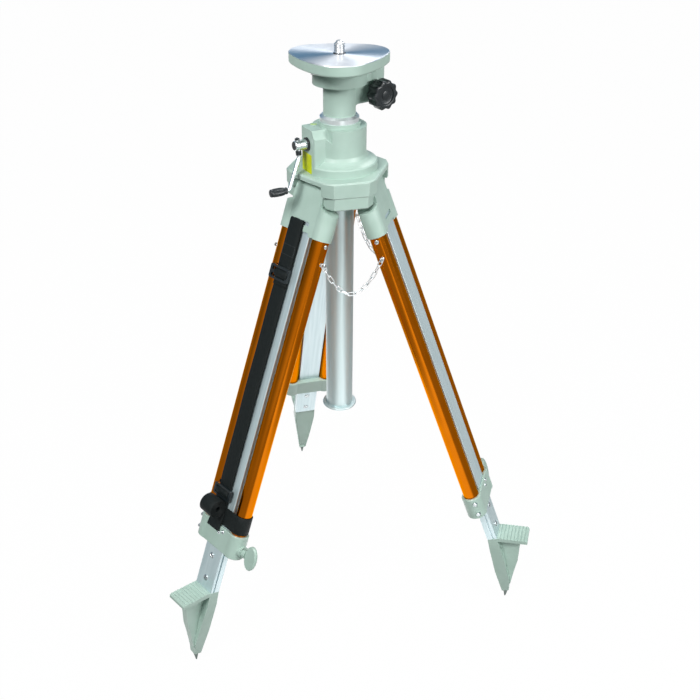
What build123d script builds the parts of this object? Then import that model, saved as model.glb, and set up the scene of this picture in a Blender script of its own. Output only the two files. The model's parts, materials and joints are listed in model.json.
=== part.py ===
from build123d import *
import os
from math import acos, cos, pi, radians, sin, sqrt, tan

os.makedirs("parts", exist_ok=True)

# An elevating survey tripod, in millimetres. The column axis is Z and the top face of
# the head is z = 0. Everything below is measured down from that face.

# Driving dimensions of the stand
stand_height = 1005.0          # head face to the ground
first_leg_azimuth = 223.76     # front left leg, anticlockwise from +X
leg_spreads = (22.2, 20.9, 23.3)  # each leg from the vertical, set for this ground
crank_azimuth = 208.0
arm_azimuth = 35.0             # side arm of the head, with the knob on its flank
screw_diameter = 15.875        # five-eighths survey thread
column_radius = 23.2
column_stroke = 300.0
tube_diameter = 27.0           # outer leg tubes
leg_bar_width = 43.0           # sliding inner leg
leg_bar_depth = 18.5

# Clearances
running = 0.05                 # shaft in its hole, on the radius
sliding = 0.25                 # flat guided faces
bar_gap = 0.4                  # inner leg to each outer tube
gear_slack = 0.34              # tooth thinning on each gear, at the pitch line
root_gap = 0.6                 # bottom of the tooth gaps and other free faces

# Levels down the axis
plate_thickness = 16.0
flange_bottom = -42.0
neck_bottom = -88.0
guide_top = neck_bottom - 0.1
guide_bottom = -98.0
housing_top = -104.0
crank_level = -127.0
housing_foot = -170.5
slab_bottom = -179.0
hinge_level = -194.0
cap_bottom = -214.0
column_bottom = -608.0

# Bores and walls round the column
column_bore = column_radius + 1.2
guide_bore = column_radius + running
column_wall = 3.4

# Leg layout along the leg, measured from the hinge pin down to the spike
hinge_radius = 45.5
pin_radius = 4.0
bracket_end = 73.0
tube_start = 34.0
tube_pitch = leg_bar_width + tube_diameter + 2 * bar_gap
tip_inset = 20.3
mean_spread = radians(sum(leg_spreads) / 3)
tip_reach = (stand_height + hinge_level - tip_inset * sin(mean_spread)) / cos(mean_spread)
shoe_top = tip_reach - 159.0
collar_end = tip_reach - 240.2
collar_start = collar_end - 42.0
clamp_level = collar_end - 17.0
tube_end = collar_start + 14.0


def frame_at(azimuth):
    """Frame on the column axis with its X turned to an azimuth."""
    a = radians(azimuth)
    return Plane(origin=(0, 0, 0), x_dir=(cos(a), sin(a), 0), z_dir=(0, 0, 1))


def leg_frame(azimuth, spread):
    """Frame at a hinge: X outward from the leg, Y along the pin, Z up the leg."""
    a, p = radians(azimuth), radians(spread)
    return Plane(
        origin=(hinge_radius * cos(a), hinge_radius * sin(a), hinge_level),
        x_dir=(cos(p) * cos(a), cos(p) * sin(a), sin(p)),
        z_dir=(-sin(p) * cos(a), -sin(p) * sin(a), cos(p)),
    )


def keep(piece, name, frame=Plane.XY):
    """Move a finished piece from its own frame to its place and write it out."""
    placed = piece.part.moved(frame.location)
    placed.label = name
    export_step(placed, f"parts/{name}.step")


def gear_outline(teeth, module, turn=0.0, scale=1.0):
    """Corner points of a 20 degree gear, one tooth centred on X before the turn."""
    pitch = teeth * module / 2
    base = pitch * cos(radians(20))
    rolled = tan(radians(20)) - radians(20)
    middle = pi / (2 * teeth) - gear_slack / (2 * pitch)
    flank = []
    for radius in (pitch - 1.2 * module, pitch, pitch + 0.9 * module):
        lift = acos(min(1.0, base / radius))
        flank.append((radius, middle + rolled - (tan(lift) - lift)))
    points = []
    for k in range(teeth):
        centre = 2 * pi * k / teeth + turn
        for radius, half in flank:
            points.append((radius * scale * cos(centre - half), radius * scale * sin(centre - half)))
        for radius, half in reversed(flank):
            points.append((radius * scale * cos(centre + half), radius * scale * sin(centre + half)))
    return points


# Head frame: X along the side arm
head = frame_at(arm_azimuth)
# Lift frame: X out along the crank shaft, Y tangential
lift = frame_at(crank_azimuth)

# Gears of the head: knob, mitre pair, vertical shaft, spur pair to the fixing screw
head_module = 2.0
head_pinion_teeth = 18
screw_gear_teeth = 36
head_shaft_offset = head_module * (head_pinion_teeth + screw_gear_teeth) / 2
knob_level = -60.0
mitre_module = 1.0
mitre_teeth = 14
mitre_radius = mitre_module * mitre_teeth / 2
mitre_face = 3.5
mitre_scale = (mitre_radius - mitre_face) / mitre_radius
spur_bottom = -34.0
spur_face = 8.0
head_shaft_radius = 4.0
bevel_bore = 2.0

# Gears of the lift: crank, bevel pair, cross shaft, pinion, rack
lift_module = 1.25
lift_teeth = 22
lift_radius = lift_module * lift_teeth / 2
bevel_teeth = 12
bevel_radius = mitre_module * bevel_teeth / 2
bevel_face = 2.6
bevel_scale = (bevel_radius - bevel_face) / bevel_radius
crank_offset = -1.0
rack_width = 6.0
rack_near = crank_offset - bevel_radius - 0.9 * mitre_module - 0.4
rack_far = rack_near - rack_width
rack_middle = rack_near - rack_width / 2
rack_tip = sqrt(column_radius**2 - rack_far**2) - 0.1
rack_pitch_line = rack_tip - 0.9 * lift_module
cross_shaft = rack_pitch_line + lift_radius
cross_shaft_radius = 4.0
crank_shaft_radius = 4.5
face_distance = 54.0

# Head plate: a rounded triangle, one corner nearly over the arm
plate_side = 65.5
plate_corner = 79.5
plate_corner_radius = 45.0
plate_turn = -4.0
corner_centre = plate_corner - plate_corner_radius
side_rise = plate_side - plate_corner_radius
side_centre = (corner_centre**2 - side_rise**2) / (2 * side_rise - corner_centre)
screw_radius = screw_diameter / 2
thread_start = 0.5
screw_collar_radius = 13.0
screw_collar_depth = 6.0
ear_distance = 46.0
ear_depth = 4.5
plate_screw_radius = 2.2

with BuildPart() as head_plate:
    with BuildSketch(Plane.XY.offset(-plate_thickness)):
        with BuildLine():
            joints = []
            for k in range(3):
                a = radians(plate_turn + 120 * k)
                corner = Vector(corner_centre * cos(a), corner_centre * sin(a))
                for side in (-1, 1):
                    b = a + side * radians(60)
                    middle = Vector(-side_centre * cos(b), -side_centre * sin(b))
                    joints.append(corner + (corner - middle).normalized() * plate_corner_radius)
            for k in range(3):
                a, b = radians(plate_turn + 120 * k), radians(plate_turn + 120 * k + 60)
                start, end, following = joints[2 * k], joints[2 * k + 1], joints[(2 * k + 2) % 6]
                ThreePointArc(start, (plate_corner * cos(a), plate_corner * sin(a)), end)
                ThreePointArc(end, (plate_side * cos(b), plate_side * sin(b)), following)
        make_face()
    extrude(amount=plate_thickness)
    chamfer(head_plate.faces().sort_by(Axis.Z)[-1].edges(), 1.2)
    fillet(head_plate.faces().sort_by(Axis.Z)[0].edges(), 3.0)
    with BuildSketch(Plane.XY.offset(-plate_thickness)):
        Circle(screw_radius + 0.35)
    extrude(amount=plate_thickness, mode=Mode.SUBTRACT)
    with BuildSketch(Plane.XY.offset(-plate_thickness)):
        Circle(screw_collar_radius + 0.4)
    extrude(amount=screw_collar_depth + 0.1, mode=Mode.SUBTRACT)
    with BuildSketch(Plane.XY.offset(-plate_thickness)):
        with PolarLocations(ear_distance, 3, start_angle=60):
            Circle(plate_screw_radius)
    extrude(amount=6, mode=Mode.SUBTRACT)
keep(head_plate, "head_plate", head)

# Head casting: gear case under the plate, side arm, neck and column spigot
case_radius = 40.5
lobe_radius = head_module * (head_pinion_teeth / 2 + 0.9) + root_gap + 2.6
neck_radius = 24.6
arm_width = 32.0
arm_bottom = -75.0
arm_end = 60.0
spigot_bottom = -108.0
spigot_radius = column_radius - column_wall - running
case_floor = spur_bottom - 1.0
gear_clear = 0.9 * head_module + root_gap

with BuildPart() as head_casting:
    with BuildSketch(Plane.XY.offset(flange_bottom)):
        Circle(case_radius)
        with Locations((head_shaft_offset, 0)):
            Circle(lobe_radius)
        with Locations((head_shaft_offset / 2 + 6, 0)):
            Rectangle(head_shaft_offset - 12, 2 * lobe_radius - 6)
    extrude(amount=-plate_thickness - flange_bottom)
    with BuildSketch(Plane.XY.offset(-plate_thickness - ear_depth)):
        with PolarLocations(ear_distance, 3, start_angle=60):
            Circle(6.5)
    extrude(amount=ear_depth)
    with BuildSketch(Plane.XY.offset(neck_bottom)):
        Circle(neck_radius)
    extrude(amount=flange_bottom - neck_bottom)
    with BuildSketch(Plane.XY.offset(arm_bottom)):
        with Locations((arm_end / 2, 0)):
            Rectangle(arm_end, arm_width)
        with Locations((arm_end, 0)):
            Circle(arm_width / 2)
    extrude(amount=flange_bottom - arm_bottom)
    fillet(head_casting.edges().filter_by(GeomType.CIRCLE).group_by(Axis.Z)[1], 4.0)
    with BuildSketch(Plane.XY.offset(spigot_bottom)):
        Circle(spigot_radius)
    extrude(amount=neck_bottom - spigot_bottom)
    with BuildSketch(Plane.XY.offset(case_floor)):
        Circle(head_module * screw_gear_teeth / 2 + gear_clear)
        with Locations((head_shaft_offset, 0)):
            Circle(head_module * head_pinion_teeth / 2 + gear_clear)
    extrude(amount=-plate_thickness - case_floor, mode=Mode.SUBTRACT)
    with BuildSketch(Plane.XY.offset(-70)):
        Circle(head_shaft_radius + running)
    extrude(amount=70 + case_floor, mode=Mode.SUBTRACT)
    with BuildSketch(Plane.XY.offset(knob_level - mitre_radius - 3)):
        with Locations((head_shaft_offset, 0)):
            Circle(mitre_radius + 4.0)
    extrude(amount=2 * mitre_radius + 5, mode=Mode.SUBTRACT)
    with BuildSketch(Plane.XY.offset(knob_level)):
        with Locations((head_shaft_offset, 0)):
            Circle(head_shaft_radius + running)
    extrude(amount=case_floor - knob_level, mode=Mode.SUBTRACT)
    with BuildSketch(Plane(origin=(head_shaft_offset, 0, knob_level), x_dir=(1, 0, 0), z_dir=(0, -1, 0))):
        Circle(head_shaft_radius + running)
    extrude(amount=arm_width, mode=Mode.SUBTRACT)
    with BuildSketch(Plane.XY.offset(-plate_thickness - ear_depth)):
        with PolarLocations(ear_distance, 3, start_angle=60):
            Circle(plate_screw_radius)
    extrude(amount=ear_depth, mode=Mode.SUBTRACT)
keep(head_casting, "head_casting", head)

# Fixing screw: stepped nose, thread length, collar under the plate, spindle
with BuildPart() as fixing_screw:
    with BuildSketch(Plane.XZ):
        with BuildLine():
            Polyline(
                (0, 18.8), (3.2, 18.5), (5.0, 17.4), (5.6, 15.6), (6.2, 15.4), (screw_radius, 13.6),
                (screw_radius, thread_start), (screw_radius - 0.7, thread_start - 0.7),
                (screw_radius - 0.7, -plate_thickness + screw_collar_depth),
                (screw_collar_radius, -plate_thickness + screw_collar_depth),
                (screw_collar_radius, -plate_thickness), (7.0, -plate_thickness),
                (7.0, spur_bottom + spur_face), (head_shaft_radius, spur_bottom + spur_face),
                (head_shaft_radius, -68), (0, -68),
                close=True,
            )
        make_face()
    revolve(axis=Axis.Z)
keep(fixing_screw, "fixing_screw", head)

with BuildPart() as screw_gear:
    with BuildSketch(Plane.XY.offset(spur_bottom)):
        with BuildLine():
            Polyline(gear_outline(screw_gear_teeth, head_module, pi / screw_gear_teeth), close=True)
        make_face()
        Circle(head_shaft_radius, mode=Mode.SUBTRACT)
    extrude(amount=spur_face)
keep(screw_gear, "screw_gear", head)

# Vertical shaft in the arm, cut in one piece with its spur pinion
with BuildPart() as head_pinion:
    with BuildSketch(Plane(origin=(head_shaft_offset, 0, spur_bottom), x_dir=(-1, 0, 0), z_dir=(0, 0, 1))):
        with BuildLine():
            Polyline(gear_outline(head_pinion_teeth, head_module), close=True)
        make_face()
    extrude(amount=spur_face)
    with BuildSketch(Plane.XY.offset(knob_level + mitre_radius)):
        with Locations((head_shaft_offset, 0)):
            Circle(head_shaft_radius)
    extrude(amount=-plate_thickness - 0.5 - knob_level - mitre_radius)
    with BuildSketch(Plane.XY.offset(knob_level + mitre_radius - mitre_face)):
        with Locations((head_shaft_offset, 0)):
            Circle(bevel_bore)
    extrude(amount=mitre_face)
keep(head_pinion, "head_pinion", head)

with BuildPart() as head_bevel:
    mouth = Plane(
        origin=(head_shaft_offset, 0, knob_level + mitre_radius), x_dir=(0, -1, 0), z_dir=(0, 0, -1)
    )
    with BuildSketch(mouth):
        with BuildLine():
            Polyline(gear_outline(mitre_teeth, mitre_module), close=True)
        make_face()
    with BuildSketch(mouth.offset(mitre_face)):
        with BuildLine():
            Polyline(gear_outline(mitre_teeth, mitre_module, scale=mitre_scale), close=True)
        make_face()
    loft(ruled=True)
    with BuildSketch(mouth):
        Circle(bevel_bore)
    extrude(amount=mitre_face, mode=Mode.SUBTRACT)
keep(head_bevel, "head_bevel", head)

# Knob on the flank of the arm, its shaft and bevel
knob_radius = 22.5
knob_thickness = 21.0
knob_start = lobe_radius + 1.0

with BuildPart() as knob_bevel:
    mouth = Plane(
        origin=(head_shaft_offset, -mitre_radius, knob_level), x_dir=(0, 0, 1), z_dir=(0, 1, 0)
    )
    with BuildSketch(mouth):
        with BuildLine():
            Polyline(gear_outline(mitre_teeth, mitre_module, pi / mitre_teeth), close=True)
        make_face()
    with BuildSketch(mouth.offset(mitre_face)):
        with BuildLine():
            Polyline(gear_outline(mitre_teeth, mitre_module, pi / mitre_teeth, mitre_scale), close=True)
        make_face()
    loft(ruled=True)
    with BuildSketch(mouth):
        Circle(bevel_bore)
    extrude(amount=mitre_face, mode=Mode.SUBTRACT)
keep(knob_bevel, "knob_bevel", head)

knob_axis = Plane(origin=(head_shaft_offset, 0, knob_level), x_dir=(1, 0, 0), z_dir=(0, -1, 0))
with BuildPart() as knob_shaft:
    with BuildSketch(knob_axis.offset(mitre_radius)):
        Circle(head_shaft_radius)
    extrude(amount=knob_start + knob_thickness - 6 - mitre_radius)
    with BuildSketch(knob_axis.offset(mitre_radius - mitre_face)):
        Circle(bevel_bore)
    extrude(amount=mitre_face)
keep(knob_shaft, "knob_shaft", head)

with BuildPart() as fixing_knob:
    with BuildSketch(knob_axis.offset(knob_start)):
        Circle(knob_radius - 2.6)
        with PolarLocations(knob_radius - 4.6, 10):
            Circle(4.6)
    extrude(amount=knob_thickness)
    chamfer(fixing_knob.faces().sort_by(Axis.Y)[0].edges(), 1.6)
    with BuildSketch(knob_axis.offset(knob_start + knob_thickness)):
        Circle(knob_radius - 9)
    extrude(amount=-3, mode=Mode.SUBTRACT)
    with BuildSketch(knob_axis.offset(knob_start)):
        Circle(head_shaft_radius)
    extrude(amount=knob_thickness - 6, mode=Mode.SUBTRACT)
keep(fixing_knob, "fixing_knob", head)

# Three screws hold the plate down on ears of the gear case
with BuildPart() as plate_screws:
    with BuildSketch(Plane.XY.offset(-plate_thickness - ear_depth - 3)):
        with PolarLocations(ear_distance, 3, start_angle=60):
            RegularPolygon(4.4, 6)
    extrude(amount=3)
    with BuildSketch(Plane.XY.offset(-plate_thickness - ear_depth)):
        with PolarLocations(ear_distance, 3, start_angle=60):
            Circle(plate_screw_radius)
    extrude(amount=ear_depth + 6)
keep(plate_screws, "plate_screws", head)

# Column: slotted tube, rack let into the slot, end lip
rack_start = spigot_bottom - 4.5
rack_end = crank_level - column_stroke - 16
slot_top = rack_start + 4.0

with BuildPart() as column_tube:
    with BuildSketch(Plane.XY.offset(column_bottom)):
        Circle(column_radius)
        Circle(column_radius - column_wall, mode=Mode.SUBTRACT)
    extrude(amount=neck_bottom - column_bottom)
    with BuildSketch(Plane.XY.offset(rack_end)):
        with Locations((column_radius / 2 + 6, rack_middle)):
            Rectangle(column_radius, rack_width)
    extrude(amount=slot_top - rack_end, mode=Mode.SUBTRACT)
keep(column_tube, "column_tube", lift)

rack_back = 9.0
tooth_step = pi * lift_module
tooth_half = tooth_step / 4 - gear_slack / 2
with BuildPart() as lift_rack:
    with BuildSketch(Plane(origin=(0, rack_far, 0), x_dir=(1, 0, 0), z_dir=(0, -1, 0))):
        with BuildLine():
            points = [(rack_back, rack_end), (rack_pitch_line - 1.2 * lift_module, rack_end)]
            first = int((rack_end - crank_level) / tooth_step) + 1
            last = int((rack_start - crank_level) / tooth_step) - 1
            for k in range(first, last + 1):
                centre = crank_level + (k + 0.5) * tooth_step
                foot = tooth_half + 1.2 * lift_module * tan(radians(20))
                crest = tooth_half - 0.9 * lift_module * tan(radians(20))
                points += [
                    (rack_pitch_line - 1.2 * lift_module, centre - foot), (rack_tip, centre - crest),
                    (rack_tip, centre + crest), (rack_pitch_line - 1.2 * lift_module, centre + foot),
                ]
            points += [(rack_pitch_line - 1.2 * lift_module, rack_start), (rack_back, rack_start)]
            Polyline(points, close=True)
        make_face()
    extrude(amount=-rack_width)
keep(lift_rack, "lift_rack", lift)

lip_radius = 29.7
with BuildPart() as column_end:
    with BuildSketch(Plane.XY.offset(column_bottom - 4.5)):
        Circle(lip_radius)
    extrude(amount=4.5)
    fillet(column_end.edges(), 2.0)
    with BuildSketch(Plane.XY.offset(column_bottom)):
        Circle(column_radius - column_wall - running)
    extrude(amount=22)
    with BuildSketch(Plane.XY.offset(column_bottom - 4.5)):
        Circle(12)
    extrude(amount=30, mode=Mode.SUBTRACT)
keep(column_end, "column_end")

# Guide collar and lower bush that the column slides in
guide_radius = 30.0
guide_seat = guide_radius - 2.0
guide_depth = housing_top - 6.0
with BuildPart() as guide_collar:
    with BuildSketch(Plane.XZ):
        with BuildLine():
            Polyline(
                (guide_bore, guide_top), (guide_radius - 3, guide_top), (guide_radius, guide_top - 3),
                (guide_radius, guide_bottom), (guide_seat, guide_bottom), (guide_seat, guide_depth),
                (guide_bore, guide_depth),
                close=True,
            )
        make_face()
    revolve(axis=Axis.Z)
keep(guide_collar, "guide_collar")

bush_radius = column_radius + 4.2
with BuildPart() as lower_bush:
    with BuildSketch(Plane.XZ):
        with BuildLine():
            Polyline(
                (guide_bore, housing_foot - 4), (bush_radius, housing_foot - 4), (bush_radius, cap_bottom),
                (bush_radius + 2.5, cap_bottom), (bush_radius + 2.5, cap_bottom - 2),
                (guide_bore, cap_bottom - 2),
                close=True,
            )
        make_face()
    revolve(axis=Axis.Z)
keep(lower_bush, "lower_bush")

# Lift housing: drum with a flared foot, flat-faced boss for the crank, gear pocket
drum_radius = 41.4
foot_radius = 59.0
foot_top = -157.0
boss_half = 22.0
with BuildPart() as lift_housing:
    with BuildSketch(Plane.XZ):
        with BuildLine():
            Polyline(
                (column_bore, housing_foot), (foot_radius, housing_foot), (foot_radius, foot_top - 2),
                (foot_radius - 2, foot_top), (drum_radius + 9, foot_top + 1.5),
                (drum_radius + 3, foot_top + 6),
                (drum_radius, foot_top + 13), (drum_radius, housing_top),
                (guide_radius + 1.7, housing_top), (guide_radius + 1.7, guide_bottom),
                (column_bore, guide_bottom),
                close=True,
            )
        make_face()
    revolve(axis=Axis.Z)
    with BuildSketch(Plane.XY.offset(housing_foot)) as boss:
        with Locations((face_distance / 2 + 10, 0)):
            Rectangle(face_distance - 20, 2 * boss_half)
        fillet(boss.vertices().group_by(Axis.X)[-1], 3.0)
    extrude(amount=housing_top - housing_foot)
    with BuildSketch(Plane.XY.offset(housing_foot)):
        with Locations((face_distance + 10, 0)):
            Rectangle(20, 140)
    extrude(amount=housing_top - housing_foot, mode=Mode.SUBTRACT)
    with BuildSketch(Plane(origin=(28, 0, 0), x_dir=(0, 1, 0), z_dir=(1, 0, 0))):
        with BuildLine():
            Polyline(
                (boss_half - 9, housing_top), (boss_half + 40, housing_top),
                (boss_half + 40, housing_top - 46), (boss_half, housing_top - 12),
                close=True,
            )
        make_face()
    extrude(amount=40, mode=Mode.SUBTRACT)
    with BuildSketch(Plane.XY.offset(housing_foot)):
        Circle(column_bore)
    extrude(amount=guide_bottom - housing_foot, mode=Mode.SUBTRACT)
    with BuildSketch(Plane.XY.offset(guide_depth)):
        Circle(guide_seat)
    extrude(amount=guide_bottom - guide_depth, mode=Mode.SUBTRACT)
    pocket_low = rack_far - 1.5
    pocket_high = crank_offset + bevel_radius + 1.6
    bearing = 6.5
    pocket_reach = cross_shaft + lift_radius + 0.9 * lift_module + root_gap
    with BuildSketch(Plane.XY.offset(crank_level - lift_radius - 2)):
        with Locations((pocket_reach / 2, (pocket_low + pocket_high) / 2)):
            Rectangle(pocket_reach, pocket_high - pocket_low)
    extrude(amount=2 * lift_radius + 4, mode=Mode.SUBTRACT)
    with BuildSketch(Plane(origin=(cross_shaft, pocket_low, crank_level), x_dir=(1, 0, 0), z_dir=(0, -1, 0))):
        Circle(cross_shaft_radius + running)
    extrude(amount=bearing, mode=Mode.SUBTRACT)
    bush_start = pocket_reach + 0.2
    crank_axis = Plane(origin=(0, crank_offset, crank_level), x_dir=(0, 1, 0), z_dir=(1, 0, 0))
    with BuildSketch(crank_axis.offset(pocket_reach - 1)):
        Circle(8.0)
    extrude(amount=face_distance, mode=Mode.SUBTRACT)
    level_spot = (36.0, -15.5)
    with BuildSketch(Plane.XY.offset(housing_top)):
        with Locations(level_spot):
            Circle(6.0)
    extrude(amount=-4, mode=Mode.SUBTRACT)
keep(lift_housing, "lift_housing", lift)

with BuildPart() as level_vial:
    with BuildSketch(Plane.XY.offset(housing_top - 4)):
        with Locations(level_spot):
            Circle(6.0)
    extrude(amount=5.2)
    chamfer(level_vial.faces().sort_by(Axis.Z)[-1].edges(), 0.8)
keep(level_vial, "level_vial", lift)

with BuildPart() as label_plate:
    with BuildSketch(Plane(origin=(face_distance, -2.5, -156), x_dir=(0, 1, 0), z_dir=(1, 0, 0))):
        RectangleRounded(30, 29, 1.5)
    extrude(amount=0.8)
keep(label_plate, "label_plate", lift)

# Cross shaft with the lift pinion cut on it, and its bevel
with BuildPart() as lift_pinion:
    with BuildSketch(Plane(origin=(cross_shaft, rack_far, crank_level), x_dir=(-1, 0, 0), z_dir=(0, 1, 0))):
        with BuildLine():
            Polyline(gear_outline(lift_teeth, lift_module), close=True)
        make_face()
    extrude(amount=rack_width)
    bevel_back = Plane(
        origin=(cross_shaft, crank_offset - bevel_radius, crank_level), x_dir=(1, 0, 0), z_dir=(0, -1, 0)
    )
    with BuildSketch(bevel_back):
        Circle(cross_shaft_radius)
    extrude(amount=crank_offset - bevel_radius - pocket_low + bearing - 0.2)
    with BuildSketch(bevel_back):
        Circle(bevel_bore)
    extrude(amount=-bevel_face)
keep(lift_pinion, "lift_pinion", lift)

with BuildPart() as lift_bevel:
    mouth = Plane(
        origin=(cross_shaft, crank_offset - bevel_radius, crank_level), x_dir=(1, 0, 0), z_dir=(0, 1, 0)
    )
    with BuildSketch(mouth):
        with BuildLine():
            Polyline(gear_outline(bevel_teeth, mitre_module, pi / bevel_teeth), close=True)
        make_face()
    with BuildSketch(mouth.offset(bevel_face)):
        with BuildLine():
            Polyline(gear_outline(bevel_teeth, mitre_module, pi / bevel_teeth, bevel_scale), close=True)
        make_face()
    loft(ruled=True)
    with BuildSketch(mouth):
        Circle(bevel_bore)
    extrude(amount=bevel_face, mode=Mode.SUBTRACT)
keep(lift_bevel, "lift_bevel", lift)

# Crank: flanged bush, friction ring, bevel, shaft with its bright hub, arm and grip
hub_radius = 7.5
hub_end = 76.0
crank_bevel_back = cross_shaft + bevel_radius
rod_radius = 3.2
rod_distance = 70.0
rod_bend = 18.0
crank_throw = 63.5
crank_lean = radians(12)
grip_start = 96.0
grip_length = 28.0
grip_radius = 6.6

with BuildPart() as crank_bush:
    with BuildSketch(crank_axis.offset(bush_start)):
        Circle(8.0)
    extrude(amount=face_distance - bush_start)
    with BuildSketch(crank_axis.offset(face_distance)):
        Circle(10.0)
    extrude(amount=2.5)
    with BuildSketch(crank_axis.offset(bush_start)):
        Circle(crank_shaft_radius + running)
    extrude(amount=face_distance, mode=Mode.SUBTRACT)
keep(crank_bush, "crank_bush", lift)

with BuildPart() as crank_bevel:
    mouth = Plane(origin=(crank_bevel_back, crank_offset, crank_level), x_dir=(0, 1, 0), z_dir=(-1, 0, 0))
    with BuildSketch(mouth):
        with BuildLine():
            Polyline(gear_outline(bevel_teeth, mitre_module), close=True)
        make_face()
    with BuildSketch(mouth.offset(bevel_face)):
        with BuildLine():
            Polyline(gear_outline(bevel_teeth, mitre_module, scale=bevel_scale), close=True)
        make_face()
    loft(ruled=True)
    with BuildSketch(mouth):
        Circle(bevel_bore)
    extrude(amount=bevel_face, mode=Mode.SUBTRACT)
keep(crank_bevel, "crank_bevel", lift)

with BuildPart() as crank_shaft:
    with BuildSketch(crank_axis.offset(crank_bevel_back - bevel_face)):
        Circle(bevel_bore)
    extrude(amount=bevel_face)
    with BuildSketch(crank_axis.offset(crank_bevel_back)):
        Circle(crank_shaft_radius)
    extrude(amount=face_distance + 4 - crank_bevel_back)
    with BuildSketch(crank_axis.offset(face_distance + 3)):
        Circle(hub_radius)
    extrude(amount=hub_end - face_distance - 3)
    chamfer(crank_shaft.faces().sort_by(Axis.X)[-1].edges(), 1.2)
    arm_way = Vector(0, sin(crank_lean), -cos(crank_lean))
    hub_middle = Vector(rod_distance, crank_offset, crank_level)
    with BuildSketch(Plane(origin=hub_middle - arm_way * 12, x_dir=(1, 0, 0), z_dir=arm_way)):
        Circle(rod_radius)
    extrude(amount=24, mode=Mode.SUBTRACT)
keep(crank_shaft, "crank_shaft", lift)

with BuildPart() as crank_arm:
    rod_end = hub_middle + arm_way * crank_throw + Vector(grip_start - 4 - rod_distance, 0, 0)
    grip_centre = rod_end + Vector(4, 0, 0)
    with BuildLine() as rod:
        FilletPolyline(
            hub_middle - arm_way * 10.5, hub_middle + arm_way * rod_bend, rod_end,
            rod_end + Vector(grip_length, 0, 0), radius=5,
        )
    with BuildSketch(Plane(origin=rod.line @ 0, z_dir=rod.line % 0)):
        Circle(rod_radius)
    sweep(path=rod.line)
keep(crank_arm, "crank_arm", lift)

with BuildPart() as crank_grip:
    grip_face = Plane(origin=grip_centre, x_dir=(0, 1, 0), z_dir=(1, 0, 0))
    with BuildSketch(grip_face):
        Circle(grip_radius)
    extrude(amount=grip_length)
    fillet(crank_grip.edges(), 2.2)
    with BuildSketch(grip_face):
        Circle(rod_radius + running)
    extrude(amount=grip_length - 3.5, mode=Mode.SUBTRACT)
keep(crank_grip, "crank_grip", lift)

# Shoulder casting over the hinges and the cap that closes them from below. Both are
# cut on the same twelve-sided outline, with a pocket for each leg bracket.
legs = frame_at(first_leg_azimuth)
lug_half = 32.0
pocket_wall = 32.0
cap_wall = pocket_wall - 2.6     # deeper, for the swing of the brackets
pin_half = 48.0


def twelve_sides(leg_side, leg_half, facet, facet_half):
    """Outline with long edges over the legs, facets between them, chamfers at the ends."""
    points = []
    for k in range(3):
        for turn, reach, half in ((0, leg_side, leg_half), (60, facet, facet_half)):
            a = radians(120 * k + turn)
            for side in (-half, half):
                points.append((reach * cos(a) - side * sin(a), reach * sin(a) + side * cos(a)))
    return points


def pin_plane(turn):
    """Plane across a hinge pin at its near end."""
    a = radians(turn)
    return Plane(
        origin=(
            hinge_radius * cos(a) + pin_half * sin(a), hinge_radius * sin(a) - pin_half * cos(a),
            hinge_level,
        ),
        x_dir=(cos(a), sin(a), 0), z_dir=(-sin(a), cos(a), 0),
    )


with BuildPart() as shoulder:
    with BuildSketch(Plane.XY.offset(hinge_level)):
        with BuildLine():
            Polyline(twelve_sides(69.0, 38, 77.5, 27), close=True)
        make_face()
    extrude(amount=housing_foot - hinge_level)
    chamfer(shoulder.faces().sort_by(Axis.Z)[-1].edges(), 1.8)
    chamfer(shoulder.faces().sort_by(Axis.Z)[0].edges(), 0.8)
    with BuildSketch(Plane.XY.offset(hinge_level)):
        with PolarLocations(pocket_wall + 40, 3):
            Rectangle(80, 2 * lug_half)
    extrude(amount=slab_bottom - hinge_level, mode=Mode.SUBTRACT)
    with BuildSketch(Plane.XY.offset(hinge_level)):
        Circle(bush_radius)
    extrude(amount=housing_foot - 4 - hinge_level, mode=Mode.SUBTRACT)
    with BuildSketch(Plane.XY.offset(hinge_level)):
        Circle(column_bore)
    extrude(amount=housing_foot - hinge_level, mode=Mode.SUBTRACT)
    for k in range(3):
        with BuildSketch(pin_plane(120 * k)):
            Circle(pin_radius)
        extrude(amount=2 * pin_half, mode=Mode.SUBTRACT)
keep(shoulder, "shoulder", legs)

with BuildPart() as hinge_cap:
    with BuildSketch(Plane.XY.offset(cap_bottom)):
        with BuildLine():
            Polyline(twelve_sides(64, 38, 76, 26), close=True)
        make_face()
    extrude(amount=hinge_level - cap_bottom)
    chamfer(hinge_cap.faces().sort_by(Axis.Z)[-1].edges(), 0.8)
    chamfer(hinge_cap.faces().sort_by(Axis.Z)[0].edges(), 2.0)
    with BuildSketch(Plane.XY.offset(cap_bottom)):
        with PolarLocations(cap_wall + 40, 3):
            Rectangle(80, 2 * lug_half)
        Circle(bush_radius)
    extrude(amount=hinge_level - cap_bottom, mode=Mode.SUBTRACT)
    with BuildSketch(Plane.XY.offset(cap_bottom)):
        with PolarLocations(cap_wall + 40, 3):
            Rectangle(80, 2 * lug_half + 7)
    extrude(amount=4, mode=Mode.SUBTRACT)
    for k in range(3):
        with BuildSketch(pin_plane(120 * k)):
            Circle(pin_radius)
        extrude(amount=2 * pin_half, mode=Mode.SUBTRACT)
keep(hinge_cap, "hinge_cap", legs)

with BuildPart() as hinge_pins:
    for k in range(3):
        with BuildSketch(pin_plane(120 * k)):
            Circle(pin_radius)
        extrude(amount=2 * pin_half)
keep(hinge_pins, "hinge_pins", legs)

with BuildPart() as cap_screws:
    with BuildSketch(Plane.XY.offset(cap_bottom - 4)):
        with PolarLocations(58, 3, start_angle=60):
            RegularPolygon(6.5, 6)
    extrude(amount=4)
keep(cap_screws, "cap_screws", legs)

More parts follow.
